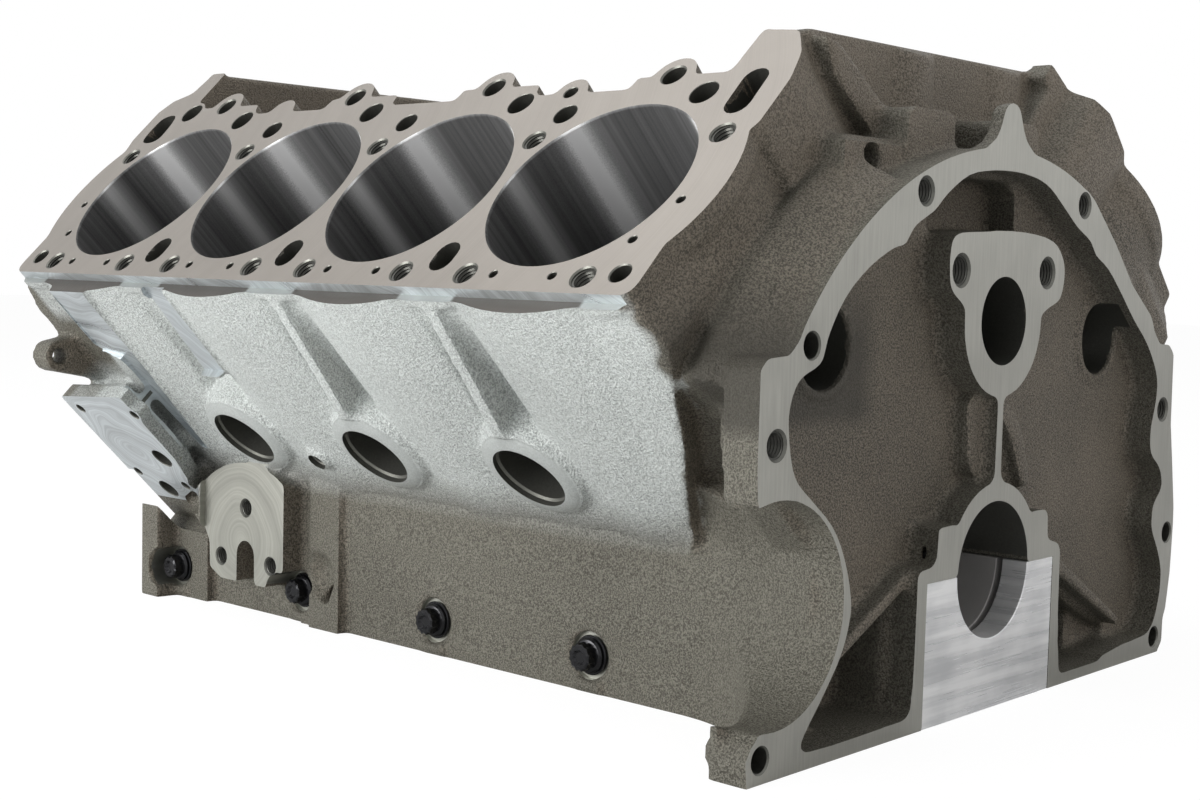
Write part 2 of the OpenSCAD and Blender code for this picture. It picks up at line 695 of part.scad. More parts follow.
// Slanted oil pump pad on the left front corner, square to the flank
module pump_boss() {
    far = front_y + 6 - left_centre_y;
    on_bank(-1) {
        translate([12 - pump_face, 0, 0]) rotate([0, -90, 0]) linear_extrude(12) polygon([
            [198, 184], [192, far], [98, far], [95, 235], [96, 222], [104, 206], [120, 192], [140, 185]
        ]);
        rotate([0, -90, 0]) translate([0, 0, 60]) linear_extrude(pump_face - 68) polygon([
            [186, 214], [182, far - 6], [96, far - 6], [96, 226], [106, 214], [122, 206], [150, 206]
        ]);
        translate([0, far - 22, 104.4]) rotate([0, -90, 0]) translate([0, 0, 76]) linear_extrude(pump_face - 73)
            difference() {
                circle(21);
                circle(17);
                translate([-3, -30]) square([60, 60]);
            }
    }
}

module front_end() {
    pump_boss();
    rear_view(front_y - 14, front_y) {
        translate([-222.5, 87.8]) circle(10);
        polygon([[-222.5, 97.8], [-203, 101.5], [-150, 110], [-140, 60], [-186, 71], [-222.5, 77.8]]);
    }
    for (s = [-1, 1]) translate([s * port_x, front_y - nose_l, port_z]) rotate([-90, 0, 0])
        cylinder(r = port_r + port_wall, h = port_face - front_y + nose_l);
    rear_view(front_y - 20, front_y) polygon([
        [-150, -rail_z], [-150, -10], [-118, 60], [-80, 150], [-52, 176], [52, 176], [80, 150],
        [118, 60], [150, -10], [150, -rail_z]
    ]);
}

// Milled strips on the front of the left flank
module strip_outline() {
    polygon([[ledge_h, 172.5], [ledge_h, 210.5], [217, 210.5], [211, 191], [131, 184.5], [129, 179], [200, 172.5]]);
}

module flank_strips() {
    on_bank(-1) {
        rotate([0, -90, 0]) translate([0, 0, 60]) linear_extrude(23.5) strip_outline();
        translate([0, 116.5, 0]) rotate([90, 0, 0]) linear_extrude(20) polygon([
            [-60, ledge_h + 1], [-76, ledge_h + 1], [-81, 203], [-60, 203]
        ]);
        translate([-86.5, 61.5, 136]) rotate([0, 90, 0]) cylinder(r1 = 9.5, r2 = 13, h = 20);
    }
}

// Tapped holes, oil ways and machined pockets of the outside
module outer_holes() {
    for (p = [[-80, 193], [84, 193], [-194.5, 76.5], [196.4, 75.4]])
        translate([p[0], -past, p[1]]) rotate([-90, 0, 0]) cylinder(d = bell_bolt_d, h = bell_bolt_depth + past);
    for (p = [[-170.4, 120], [210.4, -0.7], [-199.3, -63], [199, -64]])
        translate([p[0], -past, p[1]]) rotate([-90, 0, 0]) cylinder(d = bell_plain_d, h = flange_t + 4);
    for (x = [-44.4, 44.4]) translate([x, -past, 155.4]) rotate([-90, 0, 0]) cylinder(d = 13.6, h = 30);
    for (s = [-1, 1]) translate([s * 138.4, 10, 118.3]) rotate([-90, 0, 0]) cylinder(d = core_hole_d, h = 48);
    translate([-94.4, 10, 208.4]) rotate([-90, 0, 0]) cylinder(r = 7.2, h = 32);
    on_bank(-1) {
        for (p = [[247.4, 181.3], [185.6, 181.9], [248.8, 119.3], [202.4, 111.6]])
            translate([-pump_face - past, p[0], p[1]]) rotate([0, 90, 0]) cylinder(d = 6.6, h = 20);
        for (p = [[201, 138.7], [229, 104.4]])
            translate([-pump_face - past, p[0], p[1]]) rotate([0, 90, 0]) cylinder(d = 15, h = 30);
        translate([-90, 61.5, 136]) rotate([0, 90, 0]) cylinder(d = 9.4, h = 22);
    }
    for (s = [-1, 1]) mirror([s > 0 ? 1 : 0, 0, 0]) {
        for (p = [[-mount_pitch / 2, -38], [mount_pitch / 2, -38], [0, -4.3]])
            translate([-mount_x - past, mount_y + p[0], p[1]]) rotate([0, 90, 0]) cylinder(d = mount_hole_d, h = 22);
    }
    on_bank(-1) rotate([0, -90, 0]) translate([0, 0, 83.5]) linear_extrude(12) strip_outline();
    translate([-band_x - 8, 385, -41]) sphere(17);
    translate([-band_x - past, 379, -52]) rotate([0, 90, 0]) cylinder(r = 5, h = 24);
    translate([-222.5, front_y + past, 87.8]) rotate([90, 0, 0]) cylinder(d = 9.4, h = 17);
    for (s = [-1, 1]) translate([s * port_x, port_face + past, port_z]) rotate([90, 0, 0])
        cylinder(r = port_r, h = port_face + past - (s < 0 ? left_centre_y : right_centre_y) - jacket_half + 4);
    for (p = [[-62, 165], [62, 165], [-92, 112], [92, 112], [-118, 40], [118, 40], [-138, -20], [138, -20]])
        translate([p[0], front_y + past, p[1]]) rotate([90, 0, 0]) cylinder(d = 8, h = 22);
    for (s = [-1, 1], k = [2 : 5], j = [-1 : 1]) if (k < 5 || j > -1)
        translate([s * (skirt_x - 12), main_y(k) + bore_pitch / 2 + j * rail_hole_step, -rail_z - past])
            cylinder(d = rail_hole_d, h = rail_t - 2);
}

module cross_bolt_holes() {
    for (k = [1 : 4], s = [-1, 1]) {
        face = k == 1 ? front_skirt_x : skirt_x;
        translate([s * (cap_half - past), main_y(k), -cross_bolt_z]) rotate([0, s * 90, 0])
            cylinder(d = cross_bolt_d + 0.8, h = 120);
        translate([s * (face - spot_depth), main_y(k), -cross_bolt_z]) rotate([0, s * 90, 0])
            cylinder(r = spot_r, h = 30);
    }
}

module main_bolt_holes() {
    for (k = [1 : 5], s = [-1, 1]) translate([s * main_bolt_x, k == 5 ? rear_cap_y() : main_y(k), -past])
        cylinder(d = main_bolt_d + 2 * thread_clear, h = main_bolt_l - cap_h + 6);
    for (s = [-1, 1]) translate([s * retainer_bolt_x, retainer_t / 2, -past])
        cylinder(d = retainer_bolt_d + 2 * thread_clear, h = 20);
}

function rear_cap_y() = retainer_t + retainer_gap + rear_cap_l / 2;

module block_casting() color([0.45, 0.42, 0.38]) difference() {
    union() {
        difference() {
            union() {
                rear_view(flange_t, front_y) case_section();
                for (s = [-1, 1]) bank_solid(s);
                rear_end();
                valley_ends();
                mount_pads();
                front_end();
                flank_strips();
            }
            crank_bays();
            for (s = [-1, 1]) water_space(s);
            rear_hollows();
        }
        for (k = [1 : 4]) saddle(k);
        lifter_bosses();
        rear_details();
        rear_view(rear_bulkhead_y - 1, front_y - 20) for (s = [-1, 1])
            translate([s * (skirt_x - 12), (rail_t - 2 * rail_z) / 2]) square([rail_w, rail_t], center = true);
        for (k = [1 : 5]) translate([0, main_y(k) + 14, cam_z]) rotate([90, 0, 0]) cylinder(r = 36, h = 28);
    }
    cap_channel();
    for (s = [-1, 1]) {
        bank_bores(s);
        deck_holes(s);
    }
    rear_view(-past, front_y + past) circle(main_r, $fn = 128);
    rear_view(-past, rear_bulkhead_y + past) translate([0, cam_z]) circle(d = cam_bore_d, $fn = 96);
    rear_view(rear_bulkhead_y, front_y + past) translate([0, cam_z]) circle(d = cam_bore_d + 4, $fn = 96);
    lifter_bores();
    outer_holes();
    cross_bolt_holes();
    main_bolt_holes();
}

// Bearing cap seen from behind: pads for the bolts, lugs for the cross bolts
module cap_outline() {
    w = cap_half - cap_fit;
    polygon([
        [-w, 0], [-w, -cap_lug_z], [-w + cap_lug_w, -cap_lug_z], [-w + cap_lug_w, -cap_h],
        [w - cap_lug_w, -cap_h], [w - cap_lug_w, -cap_lug_z], [w, -cap_lug_z], [w, 0]
    ]);
}

module cap_body(yc, t) {
    difference() {
        rear_view(yc - t / 2, yc + t / 2) difference() {
            cap_outline();
            circle(main_r, $fn = 128);
        }
        for (s = [-1, 1]) translate([s * main_bolt_x, yc, -rail_z]) cylinder(d = main_bolt_d + 2 * thread_clear, h = rail_z + past);
    }
}

module main_cap(k) color([0.42, 0.42, 0.43]) difference() {
    cap_body(main_y(k), cap_t);
    for (s = [-1, 1]) translate([s * (cap_half + past), main_y(k), -cross_bolt_z]) rotate([0, -s * 90, 0])
        cylinder(d = cross_bolt_d + 2 * thread_clear, h = 12.5);
}

module main_cap_rear() color([0.42, 0.42, 0.43]) cap_body(rear_cap_y(), rear_cap_l);

module rear_seal_retainer() color([0.78, 0.79, 0.8]) difference() {
    rear_view(0, retainer_t) difference() {
        translate([-cap_half + cap_fit, -rail_z]) square([cap_w - 2 * cap_fit, rail_z]);
        circle(main_r, $fn = 128);
    }
    for (s = [-1, 1]) translate([s * retainer_bolt_x, retainer_t / 2, -rail_z - past]) {
        cylinder(d = retainer_bolt_d + 2 * thread_clear, h = rail_z + 2 * past);
        cylinder(d = 13.2, h = 10);
    }
}

// Flanged bolt with a stepped head; shank up along z, underside of the flange at 0
module flanged_bolt(d, l) {
    translate([0, 0, -0.01]) cylinder(d = d, h = l);
    translate([0, 0, -bolt_flange_t]) cylinder(r = bolt_flange_r, h = bolt_flange_t);
    translate([0, 0, -bolt_flange_t - bolt_head_t]) cylinder(r = bolt_head_r, h = bolt_head_t + 0.01, $fn = 12);
}

module washer(r, d) {
    difference() {
        cylinder(r = r, h = washer_t);
        translate([0, 0, -past]) cylinder(d = d + 0.8, h = washer_t + 2 * past);
    }
}

module main_bolts(yc) color([0.1, 0.1, 0.11]) for (s = [-1, 1])
    translate([s * main_bolt_x, yc, -cap_h - washer_t]) flanged_bolt(main_bolt_d, main_bolt_l);

module main_washers(yc) color([0.12, 0.12, 0.13]) for (s = [-1, 1])
    translate([s * main_bolt_x, yc, -cap_h - washer_t]) washer(washer_r, main_bolt_d);

module cross_place(k) {
    face = (k == 1 ? front_skirt_x : skirt_x) - spot_depth;
    for (s = [-1, 1]) translate([s * face, main_y(k), -cross_bolt_z]) rotate([0, -s * 90, 0]) children();
}

module cross_bolts(k) color([0.1, 0.1, 0.11]) {
    reach = (k == 1 ? front_skirt_x : skirt_x) - spot_depth - cap_half + 11;
    cross_place(k) translate([0, 0, -washer_t]) flanged_bolt(cross_bolt_d, reach + washer_t);
}

module cross_washers(k) color([0.12, 0.12, 0.13]) cross_place(k) translate([0, 0, -washer_t])
    washer(cross_washer_r, cross_bolt_d);

module retainer_bolts() color([0.1, 0.1, 0.11]) for (s = [-1, 1])
    translate([s * retainer_bolt_x, retainer_t / 2, -rail_z + 1]) {
        cylinder(d = retainer_bolt_d, h = rail_z + 14);
        difference() {
            cylinder(d = 12.6, h = 8);
            translate([0, 0, -past]) cylinder(r = 3.6, h = 5, $fn = 6);
        }
    }

block_casting();
main_cap(1);  // main_cap_1
main_cap(2);  // main_cap_2
main_cap(3);  // main_cap_3
main_cap(4);  // main_cap_4
main_cap_rear();
rear_seal_retainer();
main_bolts(main_y(1));  // main_bolts_1
main_bolts(main_y(2));  // main_bolts_2
main_bolts(main_y(3));  // main_bolts_3
main_bolts(main_y(4));  // main_bolts_4
main_bolts(rear_cap_y());  // main_bolts_rear
main_washers(main_y(1));  // main_washers_1
main_washers(main_y(2));  // main_washers_2
main_washers(main_y(3));  // main_washers_3
main_washers(main_y(4));  // main_washers_4
main_washers(rear_cap_y());  // main_washers_rear
cross_bolts(1);  // cross_bolts_1
cross_bolts(2);  // cross_bolts_2
cross_bolts(3);  // cross_bolts_3
cross_bolts(4);  // cross_bolts_4
cross_washers(1);  // cross_washers_1
cross_washers(2);  // cross_washers_2
cross_washers(3);  // cross_washers_3
cross_washers(4);  // cross_washers_4
retainer_bolts();
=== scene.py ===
"""Studio scene of a cast vee engine block with cross-bolted main bearing caps."""

import math

import bmesh
import bpy
from mathutils import Matrix, Vector


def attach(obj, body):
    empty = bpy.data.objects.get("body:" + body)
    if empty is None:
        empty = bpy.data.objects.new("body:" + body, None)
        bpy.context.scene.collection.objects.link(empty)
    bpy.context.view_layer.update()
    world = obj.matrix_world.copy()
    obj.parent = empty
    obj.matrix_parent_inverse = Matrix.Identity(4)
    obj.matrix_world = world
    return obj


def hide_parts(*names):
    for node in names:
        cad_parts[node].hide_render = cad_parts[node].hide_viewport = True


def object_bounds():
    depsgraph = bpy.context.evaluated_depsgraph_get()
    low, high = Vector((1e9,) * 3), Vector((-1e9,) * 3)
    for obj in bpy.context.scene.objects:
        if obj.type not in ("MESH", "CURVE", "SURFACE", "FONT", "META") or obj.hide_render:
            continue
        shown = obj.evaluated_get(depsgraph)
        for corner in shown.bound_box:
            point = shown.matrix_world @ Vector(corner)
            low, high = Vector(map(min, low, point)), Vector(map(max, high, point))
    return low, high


bl_info = {
    "name": "Engine block finish",
    "version": (1, 0, 0),
    "blender": (4, 5, 0),
    "location": "3D View > Sidebar > Engine block",
    "description": "Dresses the solids of an engine block: cast skin, milled faces, bores, threads and bolts",
    "category": "Object",
}

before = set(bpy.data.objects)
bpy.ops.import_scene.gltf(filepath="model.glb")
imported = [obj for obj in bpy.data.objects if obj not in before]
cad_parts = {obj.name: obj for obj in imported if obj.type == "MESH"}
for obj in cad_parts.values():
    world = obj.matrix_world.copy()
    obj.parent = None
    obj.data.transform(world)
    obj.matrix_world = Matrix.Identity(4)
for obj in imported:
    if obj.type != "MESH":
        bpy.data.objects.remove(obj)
cad_low, cad_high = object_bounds()

# Sizes in millimetres. The block: x to the right, y forward from the rear face, z up from the crankshaft.
# A bank: v across it towards the valley, t along it, h along its bores.
Q = math.sqrt(0.5)
MM = Matrix.Scale(0.001, 4)
BORE_PITCH = 121.92
BORE_R = 56.83
DECK_H = 272.4
DECK_EDGE = 73.5
LEDGE_H = 266.8
LEFT_Y = 299.61
RIGHT_Y = 274.21
BANK_HALF = 255.48
REAR_THROW_Y = 104.03
RAIL_Z = -74.0
FRONT_Y = 553.0
MAIN_R = 36.08
CAM_Z = 129.9
CAM_R = 22.97
RING_FACE = 85.5
CORE_HOLE_R = 20.64
CORE_HOLE_H = 148.2
PUMP_FACE = 106.0
STRIP_FACE = 83.5
MOUNT_X = 150.0
MOUNT_Y = 442.8
CAP_HALF = 65.0
LIFTER_R = 11.48
PORT_X, PORT_Y, PORT_Z = 141, 569, 166
CROSS_BOLT_Z = -54
SKIRT_X, FRONT_SKIRT_X = 131, 138
REAR_CAP_Y = 15 + 3.4 + 18
SLOT_WIDTH, SLOT_DEPTH = 14.6, 30

# Inner radii of the threads
HEAD_BOLT_R = 5.4
BELL_BOLT_R = 5.6
CAM_PLATE_BOLT_R = 6.8
SMALL_BOLT_R = 4.7

# Radius, depth and chamfer of the deck's holes
HEAD_HOLE = (HEAD_BOLT_R + 0.9, 42, 0.8)
INNER_HOLE = (6.7, 42, 0.8)
STEAM_HOLE = (2.4, 15, 0.3)
WATER_HOLE = (8, 26, 0.3)
SMALL_WATER_HOLE = (7, 26, 0.3)
OIL_HOLE = (4.2, 24, 0.4)
DOWEL_HOLE = (5.5, 18, 0.6)

# Places: x, z on the rear face, t, h on the left flank, y, z on the mount pads
BORE_T = [(i - 1.5) * BORE_PITCH for i in range(4)]
INNER_BOLT_T = [-186.08, -58.56, 58.56, 186.08]
INNER_BOLT_V = 79.6
MAIN_Y = {k: REAR_THROW_Y + BORE_PITCH * (4.5 - k) for k in range(1, 6)}
BELL_TAPPED = [(-80, 193), (84, 193), (-194.5, 76.5), (196.4, 75.4)]
BELL_PLAIN = [(-170.4, 120), (210.4, -0.7), (-199.3, -63), (199, -64)]
CAM_PLATE_HOLES = [(-44.4, 155.4), (44.4, 155.4)]
PUMP_BOLTS = [(247.4, 181.3), (185.6, 181.9), (248.8, 119.3), (202.4, 111.6)]
PUMP_PORTS = [(201, 138.7), (229, 104.4)]
BOSS_HOLE = (61.5, 136)
MOUNT_HOLES = [(-25.4, -38), (25.4, -38), (0, -4.3)]
STRIP_2_T = 116.5
STRIP = [(LEDGE_H, 172.5), (LEDGE_H, 210.5), (217, 210.5), (211, 191), (131, 184.5), (129, 179), (200, 172.5)]

# Outlines of the pump face (h, t) and the second strip (v, h), and the last opening of a deck
PUMP_OUTLINE = [(203, 180), (130, 180), (126, 188), (74, 188), (74, 268), (203, 268)]
STRIP_2 = [(-76, DECK_H), (-77, 255), (-81, 203), (-95, 201), (-95, DECK_H)]
DECK_OPENING = [(-13, 0), (-9, 8), (8, 9), (13.5, 4), (13.5, -4), (6, -8), (-9, -9)]

# Share of the floor's own glow in the camera's view
FLOOR_GLOW = 0.91

# The camera's azimuth, height and roll in degrees, its lens in millimetres and its place in metres
CAMERA_ANGLES = (-47.967, 4.373, 1.455)
CAMERA_LENS = 52.316
CAMERA_PLACE = (-0.810608, -0.450501, 0.152762)

# The faces of the casting carry these finishes, in this order
SKIN, DECK, BORE, FLANGE, MILLED, HOLE, SILVER = range(7)
CASTING_FINISHES = [
    "cast_skin", "deck_milled", "honed_bore", "flange_milled", "pad_milled", "hole_wall", "silver_milled",
]


class BlockSizes(bpy.types.PropertyGroup):
    """Sizes of the casting's finish"""

    grid: bpy.props.FloatProperty(
        name="Casting grid", description="Cell size of the cast skin",
        default=0.002, unit="LENGTH", min=0.001, max=0.006
    )
    rounding: bpy.props.IntProperty(
        name="Edge rounding", description="How often the cast edges are eased", default=5, min=0, max=30
    )
    triangles: bpy.props.IntProperty(
        name="Casting triangles", description="Triangles kept in the cast skin",
        default=150000, min=20000, max=190000
    )
    stock: bpy.props.FloatProperty(
        name="Milling stock", description="Metal that stands over the milled faces before the cut",
        default=0.004,
        unit="LENGTH", min=0.001, max=0.008,
    )
    thread_depth: bpy.props.FloatProperty(
        name="Thread depth", description="Depth of the threads in the tapped holes",
        default=0.0008, unit="LENGTH",
        min=0.0002, max=0.002,
    )
    thread_pitch: bpy.props.FloatProperty(
        name="Thread pitch", description="Distance from thread to thread", default=0.0018, unit="LENGTH",
        min=0.0008, max=0.003,
    )


class BlockColours(bpy.types.PropertyGroup):
    """Colours of the block's finishes"""

    cast_dark: bpy.props.FloatVectorProperty(
        name="Cast skin, dark", description="Hollows of the shot-blasted grain", default=(0.05, 0.045, 0.034),
        subtype="COLOR", size=3, min=0, max=1,
    )
    cast_light: bpy.props.FloatVectorProperty(
        name="Cast skin, light", description="Crests of the shot-blasted grain", default=(0.178, 0.17, 0.138),
        subtype="COLOR", size=3, min=0, max=1,
    )
    # Base of the bank sides' skin, which the cast finish brightens with painted light
    flank: bpy.props.FloatVectorProperty(
        name="Flanks", description="Bright shot-blasted skin of the bank sides", default=(0.515, 0.54, 0.525),
        subtype="COLOR", size=3, min=0, max=1,
    )
    deck: bpy.props.FloatVectorProperty(
        name="Deck", description="Milled deck faces",
        default=(0.262, 0.241, 0.217), subtype="COLOR", size=3, min=0, max=1
    )
    bore: bpy.props.FloatVectorProperty(
        name="Bores", description="Honed cylinder walls",
        default=(0.4, 0.4, 0.4), subtype="COLOR", size=3, min=0, max=1
    )
    flange: bpy.props.FloatVectorProperty(
        name="Rear flange", description="Milled bell housing face",
        default=(0.4, 0.395, 0.36), subtype="COLOR",
        size=3, min=0, max=1,
    )
    milled: bpy.props.FloatVectorProperty(
        name="Milled pads", description="Mount pads and joint faces",
        default=(0.32, 0.32, 0.285), subtype="COLOR", size=3,
        min=0, max=1,
    )
    silver: bpy.props.FloatVectorProperty(
        name="Bright cuts", description="Bright milled strips, lips and pump face",
        default=(0.49, 0.525, 0.54),
        subtype="COLOR", size=3, min=0, max=1,
    )
    oxide: bpy.props.FloatVectorProperty(
        name="Black oxide", description="Bolts and washers",
        default=(0.018, 0.018, 0.02), subtype="COLOR", size=3,
        min=0, max=1,
    )
    alloy: bpy.props.FloatVectorProperty(
        name="Seal retainer", description="Milled light alloy",
        default=(0.97, 0.98, 1.0), subtype="COLOR", size=3,
        min=0, max=1,
    )


# Placing things in millimetres


def bank_place(side):
    """Matrix from a bank's own axes (to the valley, along the bank, along the bores) to the block"""
    if side < 0:
        turn = Matrix(((Q, 0, -Q), (0, 1, 0), (Q, 0, Q)))
    else:
        turn = Matrix(((-Q, 0, Q), (0, -1, 0), (Q, 0, Q)))
    return MM @ Matrix.Translation((0, LEFT_Y if side < 0 else RIGHT_Y, 0)) @ turn.to_4x4()


def aim(point, towards=(0, 0, 1)):
    """Local placement inside another one: origin at a point, z axis along a direction"""
    turn = Vector(towards).normalized().to_track_quat("Z", "Y").to_matrix().to_4x4()
    return Matrix.Translation(Vector(point)) @ turn


def deck_place(side, v, t):
    """Axis that runs up out of a deck"""
    return bank_place(side) @ aim((v, t, 0))


def flank_place(side, t, h):
    """Axis that runs straight out of a bank's flank"""
    return bank_place(side) @ aim((0, t, h), (-1, 0, 0))


def rear_place(x, z):
    """Axis that runs backwards out of the rear face"""
    return MM @ aim((x, 0, z), (0, -1, 0))


def forward_place(x, z):
    """Axis that runs forward along the block"""
    return MM @ aim((x, 0, z), (0, 1, 0))


def flank_drawing(side):
    """Drawing of h and t, seen on a bank's flank"""
    return bank_place(side) @ Matrix(((0, 0, -1, 0), (0, 1, 0, 0), (1, 0, 0, 0), (0, 0, 0, 1)))


def section_drawing(side, t):
    """Drawing of v and h on a section across a bank"""
    turn = Matrix(((1, 0, 0, 0), (0, 0, -1, 0), (0, 1, 0, 0), (0, 0, 0, 1)))
    return bank_place(side) @ Matrix.Translation((0, t, 0)) @ turn


def skirt_face(k):
    """How far out the skirt stands at the cross bolts of a cap"""
    return FRONT_SKIRT_X if k == 1 else SKIRT_X


# Shapes for adding and cutting


def mark_faces(made, mark):
    for face in {f for v in made["verts"] for f in v.link_faces}:
        face.material_index = mark


def with_edges(faces):
    """The faces with their edges and corners, as bisect_plane takes them"""
    return faces + list({e for f in faces for e in f.edges}) + list({v for f in faces for v in f.verts})


def rod(bm, place, radius, low, high, mark=SKIN, segments=48, top_radius=None):
    """Round bar along the local z axis from low to high"""
    made = bmesh.ops.create_cone(
        bm, cap_ends=True, cap_tris=False, segments=segments, radius1=radius,
        radius2=radius if top_radius is None else top_radius, depth=high - low,
        matrix=place @ Matrix.Translation((0, 0, (low + high) / 2)),
    )
    mark_faces(made, mark)


def brick(bm, place, low, high, mark=SKIN):
    """Square block between two corners"""
    low, high = Vector(low), Vector(high)
    size = Matrix.Diagonal((high - low).to_4d())
    size[3][3] = 1
    made = bmesh.ops.create_cube(bm, size=1, matrix=place @ Matrix.Translation((low + high) / 2) @ size)
    mark_faces(made, mark)


def planer(bm, place, low, high, mark, step=20.0):
    """Square cutting block with its faces split small, so that a face with many holes stays simple"""
    old = set(bm.faces)
    brick(bm, place, low, high, mark)
    for axis in range(3):
        normal = Vector((0, 0, 0))
        normal[axis] = 1
        for count in range(1, math.ceil((high[axis] - low[axis]) / step)):
            parts = with_edges([f for f in bm.faces if f not in old])
            spot = place @ (Vector(low) + normal * (step * count + 0.37))
            across = (place.to_3x3() @ normal).normalized()
            bmesh.ops.bisect_plane(bm, geom=parts, plane_co=spot, plane_no=across)


def slab(bm, place, outline, low, high, mark=SKIN):
    """Drawing in the local x-y plane pushed from low to high along z"""
    verts = [bm.verts.new(place @ Vector((x, y, low))) for x, y in outline]
    face = bm.faces.new(verts)
    face.material_index = mark
    grown = bmesh.ops.extrude_face_region(bm, geom=[face], use_keep_orig=True)
    rise = (place.to_3x3() @ Vector((0, 0, 1))) * (high - low)
    bmesh.ops.translate(bm, verts=[v for v in grown["geom"] if isinstance(v, bmesh.types.BMVert)], vec=rise)
    near = set(verts) | {v for v in grown["geom"] if isinstance(v, bmesh.types.BMVert)}
    faces = {f for v in near for f in v.link_faces}
    for f in faces:
        f.material_index = mark
    bmesh.ops.recalc_face_normals(bm, faces=list(faces))


def turned(bm, place, profile, segments=48, mark=SKIN):
    """Solid of revolution round the local z axis; the profile lists radius and height and ends on the axis
    or closes on itself"""
    verts = [bm.verts.new(place @ Vector((max(r, 0), 0, h))) for r, h in profile]
    closed = profile[0][0] > 0 and profile[-1][0] > 0
    pairs = list(zip(verts, verts[1:])) + ([(verts[-1], verts[0])] if closed else [])
    edges = [bm.edges.new(p) for p in pairs]
    centre = place @ Vector((0, 0, 0))
    axis = (place.to_3x3() @ Vector((0, 0, 1))).normalized()
    bmesh.ops.spin(
        bm, geom=verts + edges, cent=centre, axis=axis, dvec=(0, 0, 0), angle=2 * math.pi, steps=segments,
        use_merge=True,
    )
    near = {v for v in verts if v.is_valid}
    grown = set(near)
    while near:
        near = {o for v in near for e in v.link_edges for o in e.verts} - grown
        grown |= near
    bmesh.ops.remove_doubles(bm, verts=list(grown), dist=2e-6)
    faces = {f for v in grown if v.is_valid for f in v.link_faces}
    for face in faces:
        face.material_index = mark
    bmesh.ops.recalc_face_normals(bm, faces=list(faces))


def mesh_object(name, bm, smooth_angle=35):
    """Finishes a bmesh as an object at the origin, smooth except across sharp corners"""
    mesh = bpy.data.meshes.new(name)
    bm.to_mesh(mesh)
    bm.free()
    thing = bpy.data.objects.new(name, mesh)
    bpy.context.scene.collection.objects.link(thing)
    mesh.polygons.foreach_set("use_smooth", [True] * len(mesh.polygons))
    mesh.set_sharp_from_angle(angle=math.radians(smooth_angle))
    return thing


def merged_copy(name):
    """A CAD node's mesh as a bmesh with its loose triangles joined"""
    bm = bmesh.new()
    bm.from_mesh(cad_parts[name].data)
    bmesh.ops.remove_doubles(bm, verts=bm.verts, dist=1e-6)
    return bm


def finished(thing, materials, nodes=()):
    """Gives a piece its materials and ties it to the block"""
    slots = thing.data.materials
    for index, material in enumerate(materials):
        if index < len(slots):
            slots[index] = material
        else:
            slots.append(material)
    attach(thing, "root")
    if nodes:
        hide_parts(*nodes)
    return thing


def fitted(name, bm, material):
    """Dressed piece that takes the place of the CAD node of that name"""
    return finished(mesh_object(name + "_finished", bm, 30), [material], [name])


# Materials


class Wire:
    """A number in a material; sums on it add Math nodes"""

    def __init__(self, finish, socket):
        self.finish = finish
        self.socket = socket

    def sum(self, operation, *values, clamp=False):
        settings = {"operation": operation, "use_clamp": clamp}
        return self.finish.node("ShaderNodeMath", settings, dict(enumerate(values)))[0]

    def __add__(self, other):
        return self.sum("ADD", self, other)

    def __radd__(self, other):
        return self.sum("ADD", other, self)

    def __sub__(self, other):
        return self.sum("SUBTRACT", self, other)

    def __rsub__(self, other):
        return self.sum("SUBTRACT", other, self)

    def __mul__(self, other):
        return self.sum("MULTIPLY", self, other)

    def __rmul__(self, other):
        return self.sum("MULTIPLY", other, self)

    def __truediv__(self, other):
        return self.sum("DIVIDE", self, other)

    def __pow__(self, other):
        return self.sum("POWER", self, other)

    def __abs__(self):
        return self.sum("ABSOLUTE", self)

    def limited(self):
        return self.sum("ADD", self, 0.0, clamp=True)


class Made:
    """A node whose outputs are picked by number or name"""

    def __init__(self, finish, node):
        self.finish = finish
        self.node = node

    def __getitem__(self, key):
        return Wire(self.finish, self.node.outputs[key])


class Nodes:
    """A node tree, filled by one method"""

    def __init__(self, tree):
        self.tree = tree
        self.tree.nodes.clear()

    def node(self, kind, settings=None, sockets=None):
        node = self.tree.nodes.new(kind)
        for key, value in (settings or {}).items():
            setattr(node, key, value)
        for key, value in (sockets or {}).items():
            if isinstance(value, Wire):
                self.tree.links.new(value.socket, node.inputs[key])
            else:
                node.inputs[key].default_value = value
        return Made(self, node)


